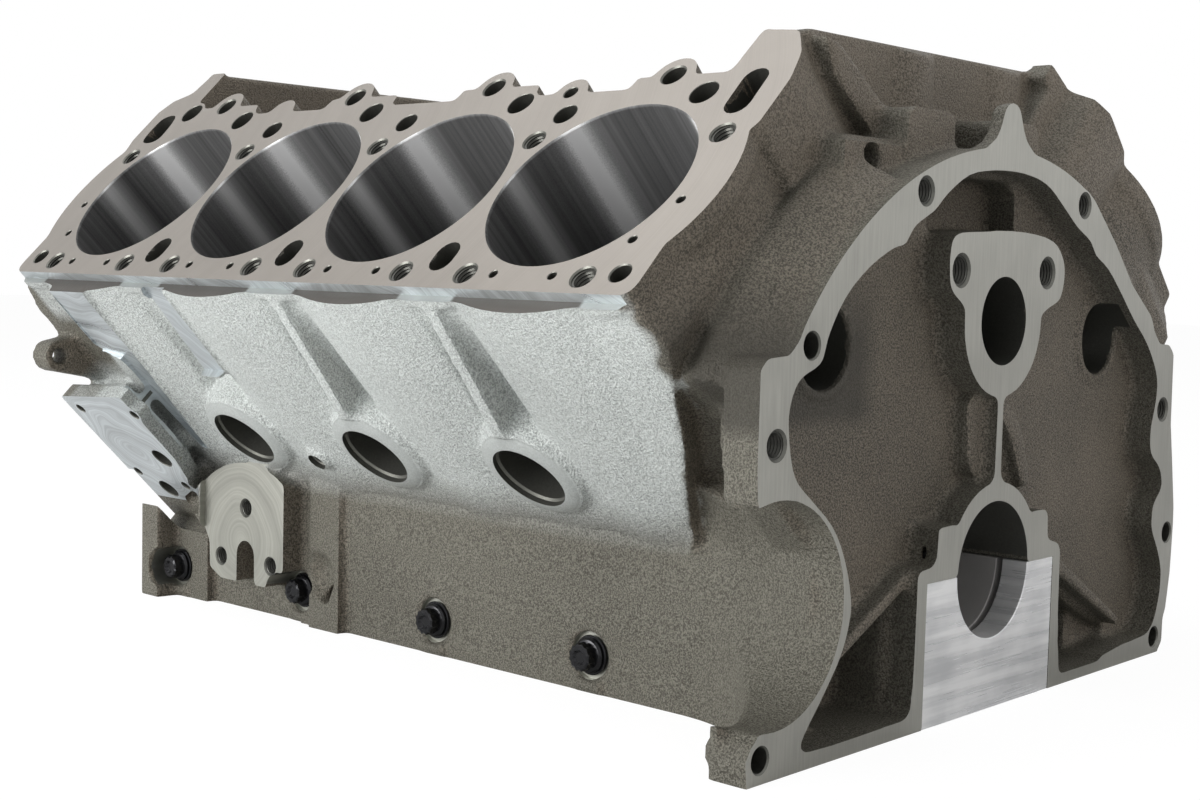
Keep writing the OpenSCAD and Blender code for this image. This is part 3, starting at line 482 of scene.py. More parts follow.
class Finish(Nodes):
    """One procedural material"""

    def __init__(self, name):
        self.material = bpy.data.materials.new(name)
        self.material.use_nodes = True
        super().__init__(self.material.node_tree)
        self.place = self.node("ShaderNodeTexCoord")["Object"]

    def axes(self, vector):
        """The x, y and z of a vector"""
        parts = self.node("ShaderNodeSeparateXYZ", None, {"Vector": vector})
        return parts["X"], parts["Y"], parts["Z"]

    def noise(self, scale, detail=2.0, roughness=0.5, vector=None):
        return self.node(
            "ShaderNodeTexNoise", None,
            {"Vector": vector or self.place, "Scale": scale, "Detail": detail, "Roughness": roughness},
        )["Fac"]

    def stripes(self, along, scale, detail):
        """Noise that changes in one direction only"""
        sockets = {"W": along, "Scale": scale, "Detail": detail}
        return self.node("ShaderNodeTexNoise", {"noise_dimensions": "1D"}, sockets)["Fac"]

    def ramp(self, value, stops):
        made = self.node("ShaderNodeValToRGB", None, {"Fac": value})
        elements = made.node.color_ramp.elements
        for index, (spot, level) in enumerate(stops):
            element = elements[index] if index < len(elements) else elements.new(spot)
            element.position = spot
            element.color = (level, level, level, 1)
        return made["Color"]

    def mixed(self, first, second, share):
        colours = [c if isinstance(c, Wire) else tuple(c) + (1,) for c in (first, second)]
        return self.node(
            "ShaderNodeMix", {"data_type": "RGBA", "blend_type": "MIX", "clamp_result": True},
            {0: share, 6: colours[0], 7: colours[1]},
        )[2]

    def bump(self, height, distance, strength=1.0):
        sockets = {"Height": height, "Distance": distance, "Strength": strength}
        return self.node("ShaderNodeBump", None, sockets)["Normal"]

    def done(self, colour, roughness, metallic, normal):
        shader = self.node(
            "ShaderNodeBsdfPrincipled", None,
            {"Base Color": colour, "Roughness": roughness, "Metallic": metallic, "Normal": normal},
        )
        self.node("ShaderNodeOutputMaterial", None, {"Surface": shader["BSDF"]})
        return self.material


def shade(colour, strength):
    """The colour made darker or lighter"""
    return [min(1, c * strength) for c in colour]


def above(value, start, steep):
    """0 up to the start, then rising to 1"""
    return ((value - start) * steep).limited()


def below(value, end, steep):
    """1 at first, falling to 0 at the end"""
    return ((end - value) * steep).limited()


def is_over(value, limit):
    return value.sum("GREATER_THAN", value, limit)


def bell(value, middle, width):
    """Soft peak of height 1 round the middle"""
    far = (value - middle) / width
    power = -1 * (far * far)
    return power.sum("EXPONENT", power)


def core_spot(y, right):
    """Place along the bank from the nearest core hole, and from the middle of the bank; right is 1 on the
    right bank"""
    along = (y - LEFT_Y * 0.001) * (1 - right * 2) + right * (RIGHT_Y - LEFT_Y) * -0.001
    step = along / (BORE_PITCH * 0.001) + 0.5
    return (step.sum("FRACT", step) - 0.5) * (BORE_PITCH * 0.001), along


def cast_finish(colours):
    """Shot-blasted iron: gritty grain; bank sides under the decks bright, partly their finer skin and partly
    painted light; the rear darker and browner by painted shade
    """
    brown = (0.235, 0.195, 0.15)
    f = Finish("cast_skin")
    grain = f.noise(1000.0, 2.0, 0.7)
    pits = f.noise(430.0, 2.0, 0.6)
    cloud = f.noise(9.0, 3.0, 0.55)
    x, y, z = f.axes(f.place)
    reach = abs(x)
    out, height = (reach - z) * Q, (reach + z) * Q
    right = is_over(x, 0.0)
    rearward = -1 * f.axes(f.node("ShaderNodeNewGeometry")["Normal"])[1]
    # Painted light: the bank sides under the decks are painted bright (partly their finer skin) from a leaning,
    # wavy edge, further back on the right bank, and less where they face backwards
    drop = 0.215 - height
    edge = 0.044 + drop.sum("MAXIMUM", drop, 0.0) * 0.42 - right * 0.0254
    edge = edge + (f.noise(42.0, 1.0) - 0.5) * 0.024
    inset = above(y, 0.515, 100.0) * 0.016
    limit = 0.096 + above(y, 0.47, 100.0) * 0.02
    side = (
        ((out - 0.046 - inset) * 55.0).limited() * below(out, limit, 120.0) * above(height, 0.095, 26.0)
        * above(y, edge, 160.0) * below(y, 0.55, 160.0)
        * (2.6 - rearward * 3.2 + above(y, 0.09, 30.0) * 1.4).limited()
    )
    # Smooth flat rings stand round the core holes
    spot, along = core_spot(y, right)
    rise = height - CORE_HOLE_H * 0.001
    far = (spot * spot + rise * rise) ** 0.5
    ring = below(far, 0.0305, 900.0) * is_over(0.18 - abs(along), 0.0) * above(out, 0.08, 400.0)
    # The front ear is left out of the painted flank light and keeps the darker skin
    ear = above(y, 0.51, 120.0) * below(height, 0.243, 80.0) * above(height, 0.185, 60.0)
    side = side * (1 - ear * 0.9)
    # Painted shade: where the dark skin faces backwards it turns darker and browner (the brown partly a real
    # stain), and the left rear corner is darker still
    crest = f.ramp(grain, [(0.42, 0.0), (0.58, 1.0)])
    tone = (crest * 0.75 + cloud * 0.5 + pits * 0.7 - 0.45).limited()
    plain = f.mixed(colours.cast_dark, colours.cast_light, tone)
    stain = (tone + above(z, 0.15, 7.0) * 0.4 + f.noise(24.0, 3.0) * 0.6 - 0.3).limited()
    rust_and_painted_shade = f.mixed(shade(colours.cast_dark, 0.9), brown, stain)
    plain = f.mixed(plain, rust_and_painted_shade, (rearward * 0.8).limited())
    # Painted shadow in the left rear corner, in the recess between the bank and the flange
    corner = below(z, 0.155, 30.0) * below(y, 0.046, 90.0) * above(z, 0.078, 120.0)
    corner = corner * above(reach, 0.09, 60.0) * (1 - right)
    plain = f.mixed(plain, shade(colours.cast_dark, 0.8), corner * 0.8)
    # Painted light on the bright skin: lighter upwards and darker to the front, over its grain
    grain_and_painted_light = crest * 0.5 + pits * 0.7 + cloud * 0.45 + height * 1.4 - 0.5 - above(y, 0.42, 1.4)
    bright = f.mixed(shade(colours.flank, 0.42), shade(colours.flank, 1.3), grain_and_painted_light.limited())
    bright = f.mixed(bright, shade(colours.flank, 0.72), ring * 0.8)
    # Painted light: the bright flank skin is laid over the plain skin by the flank mask
    return f.done(
        colour=f.mixed(plain, bright, (side * 1.15 - cloud * 0.2).limited()),
        roughness=(0.66 - crest * 0.22).limited(), metallic=0.25,
        normal=f.bump((grain * 0.6 + pits * 0.4) * (1 - ring * 0.75), 0.0018),
    )


def deck_finish(colours):
    """Milled decks with the wide arcs of a face mill; the ledges outside them lie lower, with painted shade
    over the bores and the painted flank light between them
    """
    f = Finish("deck_milled")
    x, y, z = f.axes(f.place)
    across, level = (z - abs(x)) * Q, (z + abs(x)) * Q
    # The arcs are swept by a wide cutter that ran along the bank
    sweep = y + (0.03 - across * across / 0.36)
    arcs, broad = (f.stripes(sweep, scale, 3.0) for scale in (900.0, 90.0))
    stain = f.noise(22.0, 3.0, 0.6)
    tone = (arcs * 0.5 + broad * 0.2 + stain * 0.3).limited()
    colour = f.mixed(shade(colours.deck, 0.7), shade(colours.deck, 1.25), tone)
    # Painted light and shade on the ledges: the painted flank light between the bores, a painted shadow under
    # the lip over the bores
    spot = core_spot(y, is_over(x, 0.0))[0]
    between = ((0.0205 - abs(spot)) * 500.0 + stain - 0.5).limited()
    ledge_painted_light_and_shade = f.mixed(shade(colours.deck, 0.34), shade(colours.flank, 0.62), between)
    return f.done(
        colour=f.mixed(colour, ledge_painted_light_and_shade, below(level, 0.2705, 900.0)), roughness=(0.34 + arcs * 0.2).limited(),
        metallic=0.7, normal=f.bump(arcs, 0.00006, 0.6),
    )


def bore_finish(colours):
    """Honed cylinder wall: fine cross hatching, a painted highlight along the bore on the valley side and a
    faint painted one beside it
    """
    f = Finish("honed_bore")
    hatch = f.noise(1500.0, 2.0, 0.6)
    x, y, z = f.axes(f.place)
    across = (z - abs(x)) * Q
    ragged = across + hatch * 0.004
    # Painted highlights: a bright band along each bore on the valley side, a glow round it and a faint band
    # beside it
    painted_streak = bell(ragged, 0.0425, 0.0045) + bell(ragged, 0.0425, 0.01) * 0.22
    painted_streak = painted_streak + bell(ragged, 0.006, 0.0065) * 0.5
    lines = f.noise(260.0, 3.0, 0.6, f.node("ShaderNodeCombineXYZ", None, {"X": across, "Y": y})["Vector"])
    tone = (painted_streak * 1.05 + lines * 0.3 + hatch * 0.1 - 0.14).limited()
    return f.done(
        colour=f.mixed(shade(colours.bore, 0.17), shade(colours.bore, 2.4), tone),
        roughness=(0.32 + hatch * 0.1).limited(), metallic=0.45, normal=f.bump(hatch, 0.00003, 0.5),
    )


def lined_finish(name, colour, direction, scale, roughness, metallic, depth=0.00005, contrast=1.2):
    """Milled face with straight tool marks across the given direction"""
    f = Finish(name)
    stretch = {"Vector": f.place, "Scale": tuple(1.0 if d else 0.04 for d in direction)}
    lines = f.noise(scale, 3.0, 0.6, f.node("ShaderNodeMapping", None, stretch)["Vector"])
    cloud = f.noise(26.0, 3.0, 0.55)
    tone = ((lines * 0.6 + cloud * 0.4 - 0.5) * contrast + 0.5).limited()
    return f.done(
        colour=f.mixed(shade(colour, 0.66), shade(colour, 1.28), tone),
        roughness=(roughness + lines * 0.16 - 0.08).limited(), metallic=metallic,
        normal=f.bump(lines, depth, 0.6),
    )


def arc_finish(name, colour, centre, swirl, contrast, roughness, metallic):
    """Milled face with the round tool marks of a cutter that swung about a centre, given in millimetres"""
    f = Finish(name)
    middle = tuple(c * 0.001 for c in centre)
    gap = f.node("ShaderNodeVectorMath", {"operation": "SUBTRACT"}, {0: f.place, 1: middle})["Vector"]
    far = f.node("ShaderNodeVectorMath", {"operation": "LENGTH"}, {0: gap})["Value"]
    far = far + f.noise(16.0, 2.0) * swirl
    fine, broad = (f.stripes(far, scale, 2.0) for scale in (620.0, 110.0))
    cloud = f.noise(30.0, 3.0, 0.6)
    tone = ((fine * 0.35 + broad * 0.45 + cloud * 0.2 - 0.5) * contrast + 0.5).limited()
    return f.done(
        colour=f.mixed(shade(colour, 0.68), shade(colour, 1.32), tone),
        roughness=(roughness + broad * 0.2 - 0.1).limited(), metallic=metallic,
        normal=f.bump(fine * 0.4 + broad * 0.6, 0.00012, 0.7),
    )


def plain_finish(name, colour, roughness, metallic, grain=900.0, depth=0.00005):
    """Even surface with a fine grain"""
    f = Finish(name)
    grit = f.noise(grain, 2.0, 0.6)
    made = f.mixed(shade(colour, 0.75), shade(colour, 1.25), grit)
    return f.done(colour=made, roughness=roughness, metallic=metallic, normal=f.bump(grit, depth, 0.6))


def block_finishes(colours):
    """All finishes, made once and shared"""
    if "cast_skin" not in bpy.data.materials:
        cast_finish(colours)
        deck_finish(colours)
        bore_finish(colours)
        lined_finish("flange_milled", colours.flange, (1, 0, 0), 700.0, 0.36, 0.8)
        arc_finish("pad_milled", colours.milled, (-MOUNT_X, MOUNT_Y + 4, -26), 0.022, 1.3, 0.34, 0.8)
        plain_finish("hole_wall", shade(colours.milled, 0.4), 0.4, 0.8)
        arc_finish("silver_milled", colours.silver, (-176, 524, 26), 0.06, 2.6, 0.32, 0.75)
        plain_finish("black_oxide", colours.oxide, 0.22, 0.6, 1200.0, 0.00002)
        lined_finish("cap_iron", shade(colours.flange, 0.8), (0, 0, 1), 400.0, 0.4, 0.75)
        lined_finish("retainer_milled", colours.alloy, (0, 0, 1), 150.0, 0.28, 0.35, 0.0001, 5.0)
        # The threads are nearly black: painted shade of the tapped holes
        plain_finish("thread_steel", shade(colours.milled, 0.15), 0.34, 0.8)
    return bpy.data.materials


# The casting


def flat_faces(bm, normal, level):
    """The faces of the casting that lie in one plane"""
    flat = [
        face for face in bm.faces
        if face.normal.dot(normal) > 0.9995
        and abs(face.calc_center_median().dot(normal) - level * 0.001) < 0.0001
    ]
    if not flat:
        raise RuntimeError(f"no flat face at {level} along {tuple(normal)}")
    return flat


def grow(bm, faces, rise, sink):
    """Metal over some faces: a copy of them, sunk a little and pushed out"""
    made = bmesh.ops.duplicate(bm, geom=faces)
    copies = [g for g in made["geom"] if isinstance(g, bmesh.types.BMFace)]
    verts = {v for f in copies for v in f.verts}
    bmesh.ops.translate(bm, verts=list(verts), vec=-sink)
    grown = bmesh.ops.extrude_face_region(bm, geom=copies, use_keep_orig=True)
    tops = [g for g in grown["geom"] if isinstance(g, bmesh.types.BMVert)]
    bmesh.ops.translate(bm, verts=tops, vec=rise + sink)


def outer_bolts():
    """Places of the head bolts in a deck's outer row"""
    return [(-63, t + s * 38) for t in BORE_T for s in (-1, 1)]


def middle_bolts():
    """Places of the head bolts in a deck's middle row"""
    return [(33.5, i * BORE_PITCH) for i in range(-2, 3)]


def deck_holes():
    """Round holes of one deck: v, t, radius, depth and chamfer"""
    rows = []
    for t in BORE_T:
        for s in (-1, 1):
            rows += [(-63, t + s * 38, *HEAD_HOLE), (-63, t + s * 19, *STEAM_HOLE)]
    rows += [(v, t, *HEAD_HOLE) for v, t in middle_bolts()]
    rows += [(INNER_BOLT_V, t, *INNER_HOLE) for t in INNER_BOLT_T]
    rows += [(70.8, -BORE_PITCH, *OIL_HOLE)]
    rows += [(64.2, t, *WATER_HOLE) for t in (-214.6, -90, 31.2, 154.6)] + [(75, 219.2, *WATER_HOLE)]
    rows += [(53.1, i * BORE_PITCH - 8.3, *SMALL_WATER_HOLE) for i in (-1, 0, 1)]
    for s in (-1, 1):
        rows += [(-12.4, s * (BANK_HALF - 8.7), *STEAM_HOLE), (-38.6, s * (BANK_HALF - 20.7), *STEAM_HOLE)]
        rows += [(-60, s * (BANK_HALF - 14.2), *DOWEL_HOLE)]
    return rows


def holes_list():
    """Every machined hole: placement, radius, bottom, mouth and chamfer, in millimetres"""
    holes = [
        (deck_place(side, v, t), radius, DECK_H - depth, DECK_H, chamfer)
        for side in (-1, 1) for v, t, radius, depth, chamfer in deck_holes()
    ]
    for spots, radius, depth, chamfer in (
        (BELL_TAPPED, BELL_BOLT_R + 0.8, 18, 1.2), (BELL_PLAIN, 6, 24, 0.8),
        (CAM_PLATE_HOLES, CAM_PLATE_BOLT_R + 0.9, 28, 1.2),
    ):
        holes += [(rear_place(x, z), radius, -depth, 0, chamfer) for x, z in spots]
    for spots, radius, depth in ((PUMP_BOLTS, 3.3, 20), (PUMP_PORTS, 7.5, 30)):
        holes += [(flank_place(-1, t, h), radius, PUMP_FACE - depth, PUMP_FACE, 0.5) for t, h in spots]
    holes.append((flank_place(-1, *BOSS_HOLE), SMALL_BOLT_R + 0.6, 68, 86.5, 0.8))
    for s in (-1, 1):
        for y, z in MOUNT_HOLES:
            place = MM @ aim((0, MOUNT_Y + y, z), (s, 0, 0))
            holes.append((place, SMALL_BOLT_R + 0.6, MOUNT_X - 22, MOUNT_X, 0.8))
    return holes


class BLOCK_OT_casting(bpy.types.Operator):
    """Cast body: eased cast edges, then every milled face, bore and hole cut crisp"""

    bl_idname = "block.casting"
    bl_label = "Casting"

    def execute(self, context):
        sizes, mats = context.scene.block_sizes, block_finishes(context.scene.block_colours)
        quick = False
        bm = merged_copy("block_casting")
        planes = [
            ((-Q, 0, Q), DECK_H), ((Q, 0, Q), DECK_H), ((0, -1, 0), 0), ((0, 0, -1), -RAIL_Z),
            ((-Q, 0, Q), LEDGE_H), ((Q, 0, Q), LEDGE_H), ((-1, 0, 0), MOUNT_X), ((1, 0, 0), MOUNT_X),
            ((-Q, 0, -Q), PUMP_FACE), ((-Q, 0, -Q), STRIP_FACE),
            ((0, 1, 0), FRONT_Y), ((0, 1, 0), PORT_Y), ((-Q, 0, -Q), DECK_EDGE), ((Q, 0, -Q), DECK_EDGE),
        ]
        normals = [Vector(normal).normalized() for normal, level in planes]
        found = [flat_faces(bm, normal, level) for normal, (_, level) in zip(normals, planes)]
        for faces, normal in zip(found, normals):
            grow(bm, faces, normal * sizes.stock, normal * 0.003)
        # Plugs close the bores, the water space and the holes, so the easing doesn't reach their mouths
        for side in (-1, 1):
            for t in BORE_T:
                rod(bm, deck_place(side, 0, t), 66, 92, DECK_H + sizes.stock * 900, segments=64)
                rod(bm, deck_place(side, 0, t), 74.6, 142, DECK_H - 9, segments=64)
            brick(bm, bank_place(side), (-60, -BANK_HALF + 14, 142), (62, BANK_HALF - 14, DECK_H - 9))
            for s in (-1, 0, 1):
                rod(bm, flank_place(side, s * BORE_PITCH, CORE_HOLE_H), 25, 40, RING_FACE + 3)
        for place, radius, low, high, chamfer in holes_list():
            rod(bm, place, radius + 2.2, low - 2, high + 3.4, segments=24)
        self.add_forms(bm)
        body = self.eased(context, mesh_object("casting_grown", bm), sizes, quick)
        self.machine(context, body)
        body.data.name = "cast_body"
        finished(body, [mats[n] for n in CASTING_FINISHES], ["block_casting"])
        self.sharpen(body)
        return {"FINISHED"}

    def sharpen(self, body):
        """Sharp edges at corners and wherever one finish meets another, no slivers or doubled faces, and
        nothing outside the CAD box"""
        bm = bmesh.new()
        bm.from_mesh(body.data)
        for _ in range(2):
            bmesh.ops.dissolve_degenerate(bm, dist=1e-5, edges=bm.edges)
            bmesh.ops.holes_fill(bm, edges=[e for e in bm.edges if e.is_boundary], sides=8)
            bmesh.ops.triangulate(bm, faces=[f for f in bm.faces if len(f.verts) > 3])
        twins = {}
        for face in bm.faces:
            twins.setdefault(frozenset(face.verts), []).append(face)
        doubled = [f for group in twins.values() if len(group) > 1 for f in group]
        bmesh.ops.delete(bm, geom=doubled, context="FACES")
        for vert in bm.verts:
            vert.co = [min(max(spot, low), high) for spot, low, high in zip(vert.co, cad_low, cad_high)]
        corner = math.radians(38)
        for edge in bm.edges:
            marks = {f.material_index for f in edge.link_faces}
            if len(edge.link_faces) != 2 or len(marks) > 1 or edge.calc_face_angle(0) > corner:
                edge.smooth = False
        bm.to_mesh(body.data)
        bm.free()

    def add_forms(self, bm):
        """Cast forms that run softly into the body: flank ribs, rings and ledges under the cross bolts"""
        rib = [
            (-70, LEDGE_H), (-DECK_EDGE - 3.5, LEDGE_H), (-RING_FACE - 3, CORE_HOLE_H + 33),
            (-RING_FACE, CORE_HOLE_H + 26), (-70, CORE_HOLE_H + 26),
        ]
        for side in (-1, 1):
            for s in ((-1, 0) if side < 0 else (-1, 0, 1)):
                slab(bm, section_drawing(side, s * BORE_PITCH), rib, -4.4, 4.4)
            for s in (-1, 0, 1):
                place = flank_place(side, s * BORE_PITCH, CORE_HOLE_H)
                rod(bm, place, CORE_HOLE_R + 9, 60, RING_FACE + 1.6, segments=64)
        for s in (-1, 1):
            for k in range(1, 5):
                face = skirt_face(k)
                low, high = sorted((s * (face - 6), s * (face + 3.2)))
                brick(bm, MM, (low, MAIN_Y[k] - 9, -72), (high, MAIN_Y[k] + 9, -67.5))
        strip_back = [(-60, LEDGE_H), (-81, LEDGE_H), (-86, 200), (-60, 200)]
        slab(bm, section_drawing(-1, STRIP_2_T), strip_back, 0, 20)

    def eased(self, context, body, sizes, quick):
        """The grown body joined on a fine grid, smoothed and thinned, as a new object"""
        grid = body.modifiers.new("grid", "REMESH")
        grid.mode = "VOXEL"
        grid.voxel_size = sizes.grid * (1.5 if quick else 1)
        ease = body.modifiers.new("ease", "SMOOTH")
        ease.factor = 0.5
        ease.iterations = max(1, round(sizes.rounding * (0.5 if quick else 1)))
        graph = context.evaluated_depsgraph_get()
        count = len(body.evaluated_get(graph).data.polygons) * 2
        thin = body.modifiers.new("thin", "DECIMATE")
        thin.ratio = min(1.0, sizes.triangles * (0.6 if quick else 1) / count)
        graph = context.evaluated_depsgraph_get()
        mesh = bpy.data.meshes.new_from_object(body.evaluated_get(graph))
        bpy.data.objects.remove(body)
        eased = bpy.data.objects.new("cast_body", mesh)
        context.scene.collection.objects.link(eased)
        mesh.materials.clear()
        for _ in CASTING_FINISHES:
            mesh.materials.append(None)
        mesh.polygons.foreach_set("use_smooth", [True] * len(mesh.polygons))
        mesh.polygons.foreach_set("material_index", [SKIN] * len(mesh.polygons))
        return eased

    def machine(self, context, body):
        """Cuts groups of tools out of the body, no two of a group touching each other"""
        for name, build in self.cutters():
            bm = bmesh.new()
            build(bm)
            tool = mesh_object("tool_" + name, bm)
            for _ in CASTING_FINISHES:
                tool.data.materials.append(None)
            cut = body.modifiers.new(name, "BOOLEAN")
            cut.operation = "DIFFERENCE"
            cut.solver = "MANIFOLD"
            cut.object = tool
            graph = context.evaluated_depsgraph_get()
            mesh = bpy.data.meshes.new_from_object(body.evaluated_get(graph))
            body.modifiers.clear()
            if len(mesh.polygons) < 1000:
                raise RuntimeError(f"cutting {name} left {len(mesh.polygons)} faces")
            old = body.data
            body.data = mesh
            bpy.data.meshes.remove(old)
            bpy.data.objects.remove(tool)

    def cutters(self):
        """The tools in the order of their cuts"""

        def decks(bm):
            for side in (-1, 1):
                planer(bm, bank_place(side), (-100, -280, DECK_H), (119, 280, DECK_H + 12), DECK)

        def ledges(bm):
            for side in (-1, 1):
                planer(bm, bank_place(side), (-110, -262, LEDGE_H), (-DECK_EDGE, 262, DECK_H + 12), DECK)
            for face in bm.faces:
                middle = face.calc_center_median()
                if abs((abs(middle.x) - middle.z) * Q * 1000 - DECK_EDGE) < 0.05:
                    face.material_index = SILVER

        def rear_face(bm):
            planer(bm, MM, (-260, -15, -100), (260, 0, 300), FLANGE)

        def rail_face(bm):
            planer(bm, MM, (-260, -20, -95), (260, 600, RAIL_Z), MILLED)

        def pads(bm):
            for s in (-1, 1):
                edge = sorted((s * MOUNT_X, s * (MOUNT_X + 20)))
                planer(bm, MM, (edge[0], 396, -72), (edge[1], 486, 25.5), MILLED)
            old = set(bm.faces)
            slab(bm, flank_drawing(-1), PUMP_OUTLINE, PUMP_FACE, PUMP_FACE + 12, SILVER)
            # The web under the pump face is cut level with it and keeps the cast skin
            bank = bank_place(-1)
            foot = bank @ Vector((0, 0, 94))
            up = (bank.to_3x3() @ Vector((0, 0, 1))).normalized()
            parts = with_edges([f for f in bm.faces if f not in old])
            bmesh.ops.bisect_plane(bm, geom=parts, plane_co=foot, plane_no=up)
            for face in bm.faces:
                if face not in old and (face.calc_center_median() - foot).dot(up) < 0:
                    face.material_index = SKIN

        def strips(bm):
            slab(bm, flank_drawing(-1), STRIP, STRIP_FACE, STRIP_FACE + 14, SILVER)
            slab(bm, section_drawing(-1, STRIP_2_T), STRIP_2, -0.5, 20.5, SILVER)

        def fronts(bm):
            planer(bm, MM, (-110, FRONT_Y, -90), (110, FRONT_Y + 30, 182), MILLED)
            for s in (-1, 1):
                edge = sorted((s * 110.5, s * 160))
                planer(bm, MM, (edge[0], FRONT_Y, -90), (edge[1], FRONT_Y + 30, 134), MILLED)
                rod(bm, forward_place(s * PORT_X, PORT_Z), 34, PORT_Y, PORT_Y + 11, MILLED)

        def bores(bm):
            for side in (-1, 1):
                for t in BORE_T:
                    rod(bm, deck_place(side, 0, t), BORE_R, 70, DECK_H - 0.8, BORE, 128)

        def bore_mouths(bm):
            low, high = DECK_H - 1, DECK_H + 4
            for side in (-1, 1):
                for t in BORE_T:
                    rod(bm, deck_place(side, 0, t), BORE_R - 0.02, low, high, BORE, 128, BORE_R + 3)

        def crank(bm):
            rod(bm, forward_place(0, 0), MAIN_R, -12, FRONT_Y + 12, HOLE, 96)
            rod(bm, forward_place(0, CAM_Z), CAM_R, -12, 58, HOLE, 64)
            rod(bm, forward_place(0, CAM_Z), CAM_R + 2, 58.2, FRONT_Y + 12, HOLE, 64)

        def channel(bm):
            planer(bm, MM, (-CAP_HALF, -12, -90), (CAP_HALF, FRONT_Y + 12, 0), MILLED)

        def holes(bm):
            for place, radius, low, high, chamfer in holes_list():
                mouth = radius + chamfer
                profile = [(0, low), (radius, low), (radius, high - chamfer), (mouth, high)]
                turned(bm, place, profile + [(mouth, high + 6), (0, high + 6)], 24, HOLE)

        def ports(bm):
            mouth = CORE_HOLE_R + 1.2
            profile = [(0, 48), (CORE_HOLE_R, 48), (CORE_HOLE_R, RING_FACE - 1.2), (mouth, RING_FACE)]
            for side in (-1, 1):
                for s in (-1, 0, 1):
                    place = flank_place(side, s * BORE_PITCH, CORE_HOLE_H)
                    turned(bm, place, profile + [(mouth, 100), (0, 100)], 64, HOLE)
            for s in (-1, 1):
                rod(bm, forward_place(s * 138.4, 118.3), CORE_HOLE_R, 5, 52, HOLE, 64)
                rod(bm, forward_place(s * PORT_X, PORT_Z), 19, 545.8 if s < 0 else 520.4, 590, HOLE, 64)
            for s in (-1, 1):
                for k in range(1, 5):
                    place = MM @ aim((0, MAIN_Y[k], CROSS_BOLT_Z), (s, 0, 0))
                    rod(bm, place, 13, skirt_face(k) - 3, skirt_face(k) + 26, MILLED, 48)

        def slots(bm):
            low, high = DECK_H - SLOT_DEPTH, DECK_H + 6
            opening = [(59.5 + x, BANK_HALF - 15.5 + y) for x, y in smooth_loop(DECK_OPENING)]
            for side in (-1, 1):
                bank = bank_place(side)
                for i in (-1, 0, 1):
                    slab(bm, bank, rounded_slot(-62, -42, i * BORE_PITCH, SLOT_WIDTH), low, high, HOLE)
                slab(bm, bank, rounded_slot(47, 80, -BANK_HALF + 14.7, SLOT_WIDTH), low, high, HOLE)
                slab(bm, bank, opening, low, high, HOLE)

        def lifters(bm):
            for k in range(4):
                for j in (-1, 1):
                    for s in (-1, 1):
                        y = REAR_THROW_Y + BORE_PITCH * k - s * 12.7 + j * 20
                        lean = math.radians(s * 40)
                        place = MM @ aim((0, y, CAM_Z), (math.sin(lean), 0, math.cos(lean)))
                        rod(bm, place, LIFTER_R, 40, 120, HOLE, 32)

        return [
            ("decks", decks), ("ledges", ledges), ("rear", rear_face), ("rail", rail_face), ("pads", pads),
            ("strips", strips), ("fronts", fronts), ("bores", bores), ("mouths", bore_mouths),
            ("channel", channel), ("crank", crank), ("ports", ports), ("holes", holes), ("slots", slots),
            ("lifters", lifters),
        ]


def rounded_slot(x0, x1, y, width, steps=8):
    """Outline of a slot with round ends"""
    r = width / 2
    turns = [(x, math.radians(start + 180 * i / steps)) for x, start in ((x1 - r, -90), (x0 + r, 90))
             for i in range(steps + 1)]
    return [(x + r * math.cos(a), y + r * math.sin(a)) for x, a in turns]


def smooth_loop(points, steps=4):
    """Closed smooth curve through the points"""
    out = []
    for i, b in enumerate(points):
        a, c, d = points[i - 1], points[(i + 1) % len(points)], points[(i + 2) % len(points)]
        for s in range(steps):
            t = s / steps
            out.append(tuple(
                0.5 * (2 * b[k] + (c[k] - a[k]) * t + (2 * a[k] - 5 * b[k] + 4 * c[k] - d[k]) * t * t
                       + (3 * b[k] - a[k] - 3 * c[k] + d[k]) * t * t * t)
                for k in (0, 1)
            ))
    return out


# Threads, caps and bolts


class BLOCK_OT_bores(bpy.types.Operator):
    """Honed cylinder walls, from over the crank space up to the chamfer at the deck"""

    bl_idname = "block.bores"
    bl_label = "Cylinder walls"

    def execute(self, context):
        mats = block_finishes(context.scene.block_colours)
        foot, top = 118.0, DECK_H - 1.05
        for side, name in ((-1, "left"), (1, "right")):
            bm = bmesh.new()
            for t in BORE_T:
                inner, outer = BORE_R - 0.06, BORE_R + 0.5
                wall = [(inner, foot), (inner, top), (outer, top + 0.04), (outer, foot)]
                turned(bm, deck_place(side, 0, t), wall, 160)
            finished(mesh_object("bore_walls_" + name, bm, 60), [mats["honed_bore"]])
        return {"FINISHED"}


